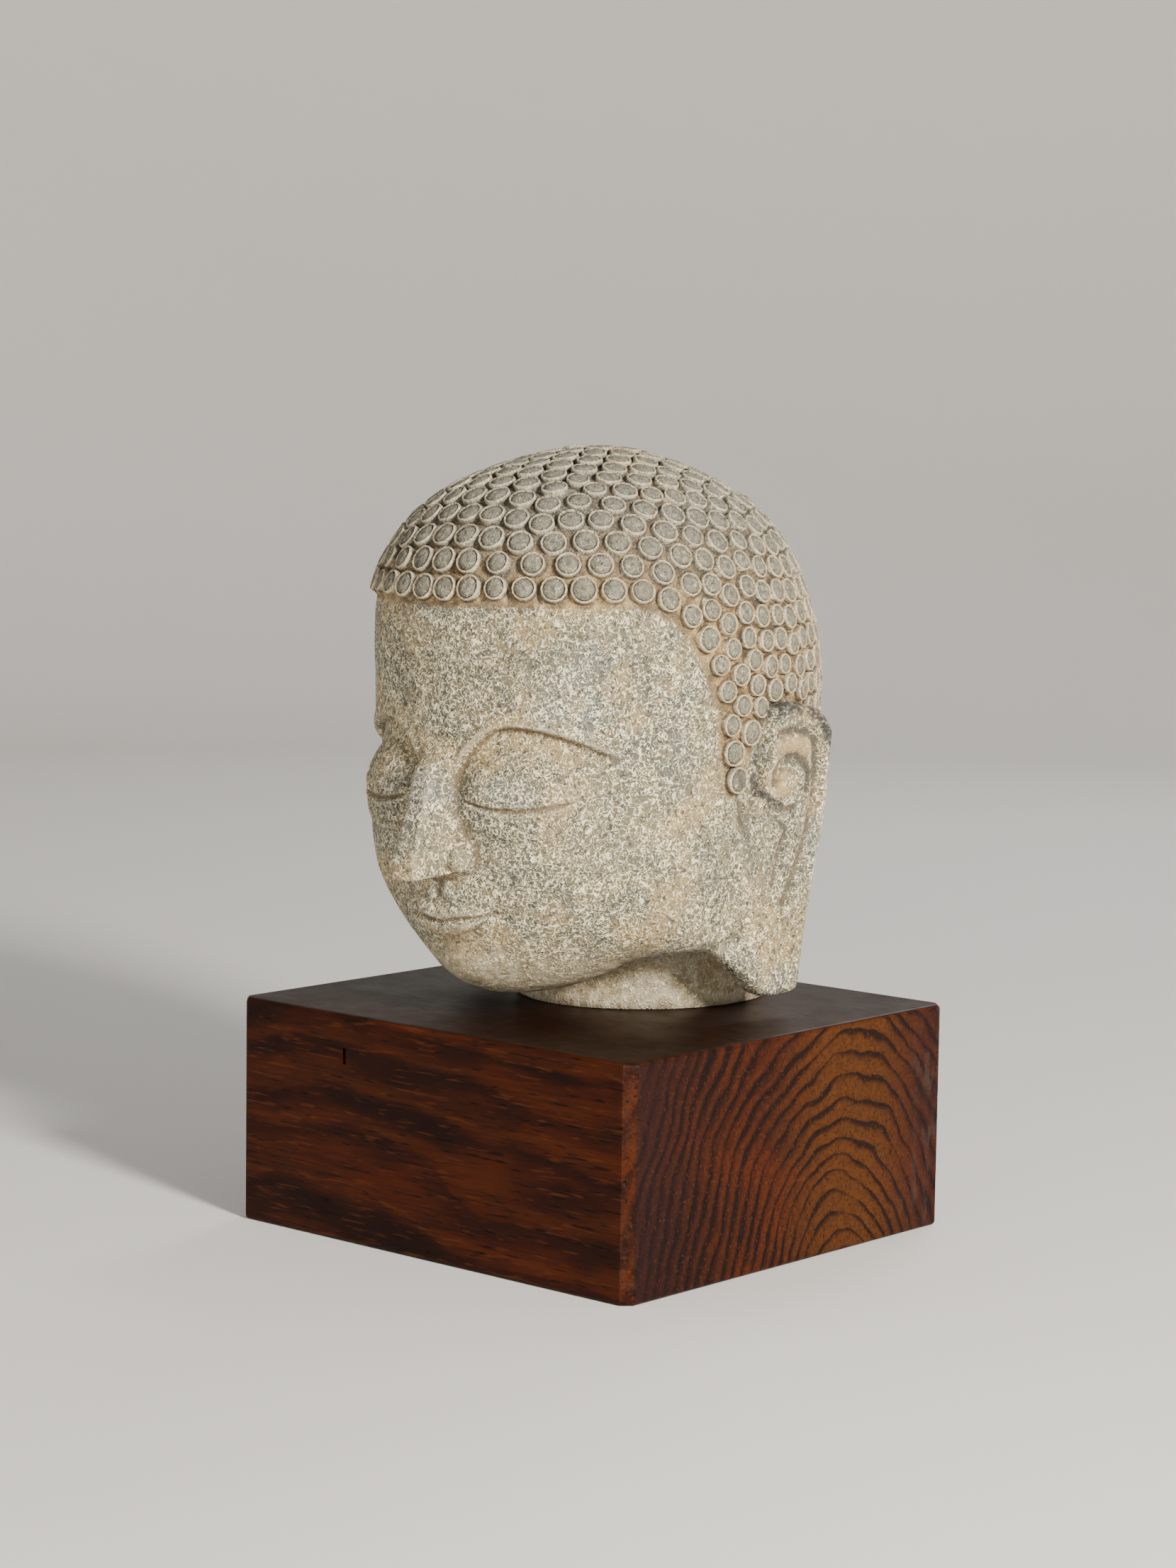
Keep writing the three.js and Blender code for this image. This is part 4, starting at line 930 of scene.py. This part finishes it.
class Graph:
    """One material's nodes. Each method adds nodes and returns their output."""

    def __init__(self, name):
        self.material = bpy.data.materials.new(name)
        self.material.use_nodes = True
        self.tree = self.material.node_tree
        self.shader = self.tree.nodes["Principled BSDF"]
        place = self.tree.nodes.new("ShaderNodeTexCoord").outputs["Object"]
        self.place = self.vector("MULTIPLY", place, (1 / MM, 1 / MM, 1 / MM))

    def node(self, kind, inputs, **settings):
        made = self.tree.nodes.new(kind)
        for key, value in settings.items():
            setattr(made, key, value)
        for key, value in inputs.items():
            self.put(made.inputs[key], value)
        return made

    def put(self, socket, value):
        if isinstance(value, bpy.types.NodeSocket):
            self.tree.links.new(value, socket)
        elif socket.type == "RGBA":
            socket.default_value = (*value, 1)
        else:
            socket.default_value = value

    def math(self, operation, a, b=0.0):
        return self.node("ShaderNodeMath", {0: a, 1: b}, operation=operation).outputs[0]

    def chain(self, operation, values):
        result = values[0]
        for value in values[1:]:
            result = self.math(operation, result, value)
        return result

    def total(self, *values):
        return self.chain("ADD", values)

    def product(self, *values):
        return self.chain("MULTIPLY", values)

    def centred(self, value, width):
        """A noise spread evenly round nothing, over a width."""
        return self.product(self.math("SUBTRACT", value, 0.5), width)

    def away(self, value, middle=0.0):
        """How far a value lies from a middle one."""
        return self.math("ABSOLUTE", self.math("SUBTRACT", value, middle))

    def vector(self, operation, a, b):
        made = self.node("ShaderNodeVectorMath", {0: a, 1: b}, operation=operation)
        return made.outputs["Value" if operation == "DOT_PRODUCT" else "Vector"]

    def parts(self, vector):
        return self.node("ShaderNodeSeparateXYZ", {0: vector}).outputs

    def step(self, value, low, high):
        """0 below low, 1 above high, eased between; turned round when low is the larger."""
        start, end = (0.0, 1.0) if low < high else (1.0, 0.0)
        inputs = {0: value, 1: min(low, high), 2: max(low, high), 3: start, 4: end}
        return self.node("ShaderNodeMapRange", inputs, interpolation_type="SMOOTHSTEP").outputs[0]

    def noise(self, size, detail, roughness, distortion=0.0, stretch=(1, 1, 1), shift=0.0):
        """Noise between 0 and 1 with features of a size in millimetres."""
        place = self.vector("MULTIPLY", self.place, tuple(1 / (size * k) for k in stretch))
        place = self.vector("ADD", place, (shift, -shift, 2 * shift))
        inputs = {"Vector": place, "Scale": 1.0, "Detail": detail}
        inputs.update(Roughness=roughness, Distortion=distortion)
        return self.node("ShaderNodeTexNoise", inputs).outputs["Fac"]

    def strokes(self, size, width, shift):
        """Thin winding lines: where a noise passes its middle value."""
        off = self.away(self.noise(size, 1.0, 0.5, 0.8, shift=shift), 0.5)
        return self.step(off, width, width * 0.25)

    def attribute(self, name):
        made = self.node("ShaderNodeAttribute", {}, attribute_type="GEOMETRY", attribute_name=name)
        return made.outputs["Fac"]

    def mix(self, factor, a, b):
        return self.node("ShaderNodeMix", {0: factor, 6: a, 7: b}, data_type="RGBA").outputs[2]

    def layered(self, colour, *layers):
        """Colours laid over one another, each as far as the product of its shares."""
        for above, *shares in layers:
            colour = self.mix(self.product(*shares), colour, above)
        return colour

    def finish(self, colour, roughness, height, depth, strength):
        bump = self.node("ShaderNodeBump", {"Height": height, "Distance": depth, "Strength": strength})
        self.put(self.shader.inputs["Base Color"], colour)
        self.put(self.shader.inputs["Roughness"], roughness)
        self.put(self.shader.inputs["Normal"], bump.outputs[0])
        return self.material


# Hairline cracks on the cheek, the lobe and the ear's rim: ends and a length of their waver.
CRACKS = [
    ((75.0, -26.0, 164.2), (87.5, -4.0, 163.8), 0.5),
    ((89.5, 12.0, 167.6), (93.5, 37.0, 165.6), 0.7),
    ((95.0, 35.0, 199.3), (97.5, 39.5, 198.6), 0.5),
]
CRACK_PLANE = Vector((0.93, -0.3, 0.0)).normalized()
CRACK_HALF_WIDTH = (0.32, 0.10)

# Colours of the stone, as linear red, green and blue.
WARM_GREY, COOL_GREY, BLUE_GREY = (0.160, 0.134, 0.076), (0.098, 0.095, 0.068), (0.11, 0.125, 0.118)
EARTH, SHADE, PIT = (0.33, 0.225, 0.095), (0.12, 0.112, 0.082), (0.045, 0.043, 0.034)
WARM_FLECK, COOL_FLECK, EARTH_FLECK = (0.90, 0.79, 0.51), (0.79, 0.725, 0.52), (0.76, 0.59, 0.33)
DISC, DISC_PIT = (0.115, 0.108, 0.072), (0.014, 0.015, 0.012)
DISC_GREY, DISC_FLECK = (0.06, 0.063, 0.052), (0.47, 0.45, 0.32)
RIM, RIM_EARTH = (0.66, 0.53, 0.305), (0.42, 0.27, 0.12)
RIM_FLECK, RIM_PIT = (0.80, 0.69, 0.45), (0.10, 0.076, 0.045)
GAP, GAP_EARTH = (0.47, 0.315, 0.135), (0.165, 0.098, 0.042)
# Painted shade: a dark line in the groove round each knob's top, and a darker band at each knob's foot.
GROOVE_SHADE, FOOT_SHADE = (0.032, 0.024, 0.014), (0.065, 0.046, 0.026)
# The crown's grey, which also leaves the gaps between its knobs dark as painted shade.
CROWN_GREY_AND_SHADE, CROWN_PIT = (0.11, 0.106, 0.085), (0.025, 0.026, 0.022)
CROWN_FLECK, CROWN_RIM = (0.45, 0.43, 0.34), (0.46, 0.425, 0.32)
# Painted shade for the hollows of the surface, then ochre earth for the ear.
HOLLOW_SHADE, EAR_EARTH = (0.13, 0.088, 0.048), (0.47, 0.31, 0.14)
EAR_SHADE, WORN = (0.075, 0.068, 0.05), (0.64, 0.57, 0.42)
# Painted light: the neck's pale colour, mottled with earth. Painted shade: the dark in the groove between
# cheek and ear.
NECK_PAINTED_LIGHT, NECK_EARTH, CLEFT_SHADE = (0.62, 0.53, 0.36), (0.36, 0.26, 0.14), (0.075, 0.068, 0.052)
# Lichen black, which also paints the shadow line at each ear's front, and the dark of cracks.
LICHEN_AND_SHADOW, CRACK = (0.035, 0.035, 0.036), (0.05, 0.042, 0.03)
# Heights between which the crown turns grey and darker, partly as painted shade, and the neck paler, as
# painted light.
CROWN_HEIGHTS, NECK_HEIGHTS = (262, 325), (140, 118)
STONE_ROUGHNESS, STONE_RELIEF = 0.95, 0.0009
STORED = ("knob", "tone", "hair", "hollow", "ear", "ear_cut", "lichen_and_shadow", "ochre", "cheek_edge_shade")


def stone():
    """Grey volcanic stone under pale worm-like flecks, ochre earth in the hollows and dark lichen, with
    painted shade in hollows and carved grooves, a painted shadow line at each ear's front and painted light
    on the neck.
    """
    g = Graph("weathered_stone")
    knob, tone, hair, hollow, ear, ear_cut, lichen_and_shadow, ochre, cheek_edge_shade = map(g.attribute, STORED)
    height = g.parts(g.place)[2]
    broad, patch = g.noise(48, 3, 0.55), g.noise(17, 4, 0.6, shift=7)
    mottle, grain = g.noise(5.2, 4, 0.65, shift=3), g.noise(0.9, 2, 0.6, shift=5)
    speck = g.noise(2.1, 3, 0.62, 0.4, shift=11)
    earth = g.step(g.noise(30, 3, 0.6, shift=19), 0.49, 0.65)
    lively = g.step(g.noise(24, 3, 0.6, shift=13), 0.30, 0.62)
    worms = g.math("MAXIMUM", g.strokes(2.9, 0.058, 23.0), g.strokes(2.1, 0.045, 41.0))

    pale = g.layered(g.mix(g.step(patch, 0.3, 0.7), WARM_FLECK, COOL_FLECK), (EARTH_FLECK, earth, 0.5))
    skin = g.layered(
        g.mix(g.step(patch, 0.40, 0.66), WARM_GREY, COOL_GREY),
        (BLUE_GREY, g.step(broad, 0.50, 0.64), 0.75),
        (EARTH, earth, 0.7),
        (SHADE, g.step(mottle, 0.48, 0.66), 0.55),
        (pale, worms, g.total(g.product(lively, 0.32), 0.66)),
        (PIT, g.step(speck, 0.56, 0.64), 0.85),
    )

    disc = g.layered(
        g.mix(g.step(speck, 0.38, 0.53), DISC, DISC_PIT),
        (DISC_GREY, g.step(tone, 0.3, 1.0), 0.5),
        (DISC_FLECK, worms, 0.46),
    )
    rim = g.layered(
        g.mix(g.step(mottle, 0.36, 0.57), RIM, RIM_EARTH),
        (RIM_FLECK, worms, 0.4),
        (RIM_PIT, g.step(speck, 0.55, 0.68), 0.6),
    )
    gap = g.mix(g.step(mottle, 0.38, 0.62), GAP, GAP_EARTH)
    edge = g.total(knob, g.centred(mottle, 0.12))
    # The crown's grey layer, darker towards the top, with the gaps between knobs left dark as painted shade.
    grey = g.layered(
        g.mix(g.step(speck, 0.40, 0.60), CROWN_GREY_AND_SHADE, CROWN_PIT),
        (CROWN_FLECK, worms, 0.3),
        (CROWN_RIM, g.step(edge, 0.79, 0.85), g.step(edge, 1.0, 0.94), g.step(speck, 0.62, 0.46)),
    )
    curls = g.layered(
        g.mix(g.step(edge, 0.76, 0.82), disc, rim),
        # painted shade in the groove round each knob's top
        (GROOVE_SHADE, g.step(edge, 0.73, 0.78), g.step(edge, 0.845, 0.79), 0.95),
        (gap, g.step(edge, 1.0, 1.05)),
        (FOOT_SHADE, g.step(edge, 0.95, 1.0), g.step(edge, 1.10, 1.03), g.step(patch, 0.30, 0.46), 0.95),
        # the crown's grey, with its painted shade, towards the top
        (grey, g.step(height, *CROWN_HEIGHTS), g.step(broad, 0.30, 0.48), 0.85),
    )

    # The neck's paler colour is painted light under the jaw, mottled with earth.
    neck = g.mix(g.step(mottle, 0.42, 0.6), NECK_PAINTED_LIGHT, NECK_EARTH)
    cracks = [crack_line(g, Vector(start), Vector(end), waver) for start, end, waver in CRACKS]
    colour = g.layered(
        g.mix(hair, skin, curls),
        # painted shade: darker brown in every hollow of the surface
        (HOLLOW_SHADE, g.step(hollow, 0.02, 0.14), g.step(patch, 0.30, 0.50), 0.8),
        (EAR_EARTH, g.step(ochre, 0.1, 0.8), g.step(mottle, 0.30, 0.55), 0.75),
        (EAR_SHADE, g.step(ear_cut, 0.2, 0.85), g.step(mottle, 0.28, 0.52), 0.85),
        (WORN, g.step(hollow, -0.05, -0.2), 0.5),
        (neck, g.step(height, *NECK_HEIGHTS), g.step(ear, 0.5, 0.0), 0.5),
        # painted shade in the groove between cheek and ear
        (CLEFT_SHADE, cheek_edge_shade, g.step(mottle, 0.30, 0.55), 0.85),
        # lichen, and the painted shadow line at the foot of each ear's front edge
        (LICHEN_AND_SHADOW, g.step(lichen_and_shadow, 0.08, 0.65), g.step(mottle, 0.36, 0.52), g.step(speck, 0.32, 0.50), 0.9),
        *((CRACK, crack, 0.8) for crack in cracks),
    )

    shares = (worms, 0.7), (speck, -0.7), (mottle, 0.9), (grain, 0.5)
    relief = g.total(*(g.product(pattern, share) for pattern, share in shares))
    return g.finish(colour, STONE_ROUGHNESS, relief, STONE_RELIEF, 1.0)


def crack_line(g, start, end, waver):
    """A thin dark line near the stretch between two points, which wavers by a noise."""
    way = (end - start).normalized()
    across = way.cross(CRACK_PLANE).normalized()
    length = (end - start).length
    offset = g.vector("SUBTRACT", g.place, tuple(start))
    along = g.vector("DOT_PRODUCT", offset, tuple(way))
    side = g.vector("DOT_PRODUCT", offset, tuple(across))
    side = g.total(side, g.centred(g.noise(5, 3, 0.6), waver * 4))
    line = g.step(g.away(side), *CRACK_HALF_WIDTH)
    inside = g.product(g.step(along, 0.0, 2.0), g.step(along, length, length - 2.0))
    near = g.step(g.parts(g.place)[0], 60.0, 62.0)
    return g.product(line, inside, near)


# The trunk's middle, as y and height in millimetres, how its rings are spaced, and how far they waver.
PITH, RING_FLATTENING = (36.0, -16.0), 0.8
RING_SPACING, RING_BOW, RING_WAVER = 6.8, 30.0, 1.6
# Colours of the wood, as linear red, green and blue.
RED_WOOD, BROWN_WOOD = (0.0452, 0.00819, 0.00156), (0.0164, 0.00351, 0.00117)
EARLY_WOOD, LATE_WOOD = (0.0624, 0.0137, 0.0025), (0.00459, 0.0017, 0.00131)
# Painted light in the middle of each end face, and painted shade towards its front edge.
END_PAINTED_LIGHT, END_PAINTED_SHADE = (0.0686, 0.0226, 0.00351), (0.0112, 0.00393, 0.00229)
FIBRE, PORE, RED_FLECK = (0.00721, 0.00229, 0.00137), (0.00229, 0.000983, 0.000718), (0.0936, 0.025, 0.00546)
PLUM, DUST, TOP_STAIN = (0.0131, 0.00459, 0.0059), (0.0426, 0.0344, 0.0278), (0.00655, 0.00278, 0.00197)
# Lighter wood on the vertical edges: wear, and a painted highlight on their chamfers.
WORN_WOOD_AND_HIGHLIGHT = (0.0524, 0.0229, 0.0105)
WOOD_SHINE, WOOD_ROUGHNESS, WOOD_RELIEF = 0.08, 0.33, 0.00025


def wood():
    """Dark red-brown hardwood with a satin finish: rings round an axis along X, pores as short dashes."""
    g = Graph("dark_hardwood")
    x, y, z = g.parts(g.place)
    half_x, half_y, top = BLOCK_HIGH / MM
    end_face = g.step(g.away(x), half_x - 0.6, half_x - 0.1)
    drift = g.noise(75, 3, 0.5, stretch=(3, 1, 1))
    fine = g.noise(9, 3, 0.6, stretch=(6, 1, 1), shift=4)
    across = g.math("SUBTRACT", y, PITH[0])
    up = g.product(g.math("SUBTRACT", z, PITH[1]), RING_FLATTENING)
    radius = g.math("SQRT", g.total(g.product(across, across), g.product(up, up)))
    radius = g.total(radius, g.centred(drift, RING_BOW), g.centred(fine, RING_WAVER))
    turn = g.math("FRACT", g.math("DIVIDE", radius, RING_SPACING))
    share = g.noise(26, 2, 0.5, stretch=(3, 1, 1), shift=21)
    late = g.product(g.step(g.total(turn, share), 1.05, 1.36), g.step(turn, 1.0, 0.92))
    thin = g.step(g.noise(1.5, 2, 0.6, stretch=(22, 1, 1), shift=8), 0.40, 0.66)
    board = g.step(g.noise(44, 3, 0.6, stretch=(2.2, 1, 1), shift=2), 0.36, 0.64)
    pores = g.step(g.noise(1.3, 1.5, 0.6, stretch=(10, 1, 1), shift=15), 0.60, 0.70)
    fleck = g.step(g.noise(1.4, 1.5, 0.6, stretch=(10, 1, 1), shift=31), 0.58, 0.72)
    dirt = g.step(g.noise(7, 4, 0.7, stretch=(1, 1, 3)), 0.50, 0.66)
    bare = g.step(g.noise(6, 4, 0.7, shift=6), 0.45, 0.68)

    corner = half_x + half_y - 4.0
    arris_wear_and_highlight = g.step(g.total(g.away(x), g.away(y)), corner - 2.5, corner)
    colour = g.layered(
        g.mix(board, RED_WOOD, BROWN_WOOD),
        (EARLY_WOOD, g.step(turn, 0.0, 0.2), g.step(turn, 0.6, 0.2), 0.5),
        # painted light in the middle of each end face, painted shade towards its front
        (END_PAINTED_LIGHT, end_face, g.step(g.away(y, 40.0), 62.0, 10.0), 0.75),
        (END_PAINTED_SHADE, end_face, g.step(y, -30.0, -100.0), 0.6),
        (LATE_WOOD, late, g.total(g.product(end_face, 0.35), 0.55)),
        (FIBRE, thin, 0.45),
        (PORE, pores, 0.75),
        (RED_FLECK, fleck, 0.45),
        (PLUM, end_face, g.step(g.away(y), 55.0, 100.0), 0.35),
        (DUST, g.step(y, 66, 104), end_face, dirt, 0.5),
        (TOP_STAIN, g.step(z, top - 0.8, top - 0.1), 0.7),
        # wear, and a painted highlight on the vertical edges' chamfers
        (WORN_WOOD_AND_HIGHLIGHT, arris_wear_and_highlight, bare, 0.45),
    )
    relief = g.math("SUBTRACT", g.product(fine, 0.3), pores)
    gloss = g.total(g.product(g.noise(22, 3, 0.6, shift=9), 0.25), WOOD_ROUGHNESS)
    g.shader.inputs["Specular IOR Level"].default_value = WOOD_SHINE
    return g.finish(colour, gloss, relief, WOOD_RELIEF, 0.6)


# The floor's radius, the curve up to the wall and the wall's top in metres, and the sides of its round.
FLOOR_RADIUS, WALL_CURVE, WALL_TOP, FLOOR_SIDES = 2.2, 0.9, 3.2, 96
FLOOR_COLOUR, FLOOR_ROUGHNESS = (0.72, 0.71, 0.69), 0.9


def stage():
    """A plain pale floor that curves up into a wall far round the object."""
    bend = np.linspace(0, math.pi / 2, 13)
    profile = [(FLOOR_RADIUS + WALL_CURVE * math.sin(a), WALL_CURVE - WALL_CURVE * math.cos(a)) for a in bend]
    profile.append((FLOOR_RADIUS + WALL_CURVE, WALL_TOP))
    turns = 2 * math.pi * np.arange(FLOOR_SIDES) / FLOOR_SIDES
    vertices = [(r * math.cos(a), r * math.sin(a), z) for r, z in profile for a in turns]
    vertices.append((0, 0, 0))
    faces = []
    for k in range(FLOOR_SIDES):
        after = (k + 1) % FLOOR_SIDES
        faces.append((k, len(vertices) - 1, after))
        for low in range(0, FLOOR_SIDES * (len(profile) - 1), FLOOR_SIDES):
            high = low + FLOOR_SIDES
            faces.append((low + k, low + after, high + after, high + k))
    floor = new_object("floor", vertices, faces)
    floor.data.polygons.foreach_set("use_smooth", [True] * len(floor.data.polygons))
    surface = Graph("pale_floor")
    surface.put(surface.shader.inputs["Base Color"], FLOOR_COLOUR)
    surface.put(surface.shader.inputs["Roughness"], FLOOR_ROUGHNESS)
    floor.data.materials.append(surface.material)


# Soft round lights: name, place, size in metres, power in watts and colour. All shine at the head's middle.
LIGHTS = [
    ("key", (2.1, -0.62, 1.02), 0.42, 132, (1.0, 0.95, 0.87)),
    ("fill", (0.75, -2.1, 0.12), 0.8, 19, (1.0, 0.96, 0.9)),
    ("rim", (-0.6, 1.8, 1.5), 0.8, 13, (1.0, 1.0, 1.0)),
]
LIT_POINT = Vector((0, 0, 0.2))
SKY_COLOUR, SKY_STRENGTH = (0.9, 0.93, 1.0), 0.17


def lights():
    for name, place, size, power, colour in LIGHTS:
        light = bpy.data.lights.new(name, "AREA")
        light.shape = "DISK"
        light.size = size
        light.energy = power
        light.color = colour
        aimed(light, place, LIT_POINT)
    world = bpy.data.worlds.new("studio")
    world.use_nodes = True
    sky = world.node_tree.nodes["Background"]
    sky.inputs["Color"].default_value = (*SKY_COLOUR, 1)
    sky.inputs["Strength"].default_value = SKY_STRENGTH
    bpy.context.scene.world = world


head, centres, radii = carved_head()
head.data.materials.clear()
head.data.materials.append(stone())
finish_surface(head, centres, radii)
head.data.polygons.foreach_set("use_smooth", [True] * len(head.data.polygons))
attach(head, "root")
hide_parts("buddha_head")

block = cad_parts["wooden_block"]
block.data.materials.clear()
block.data.materials.append(wood())

stage()
camera()
lights()
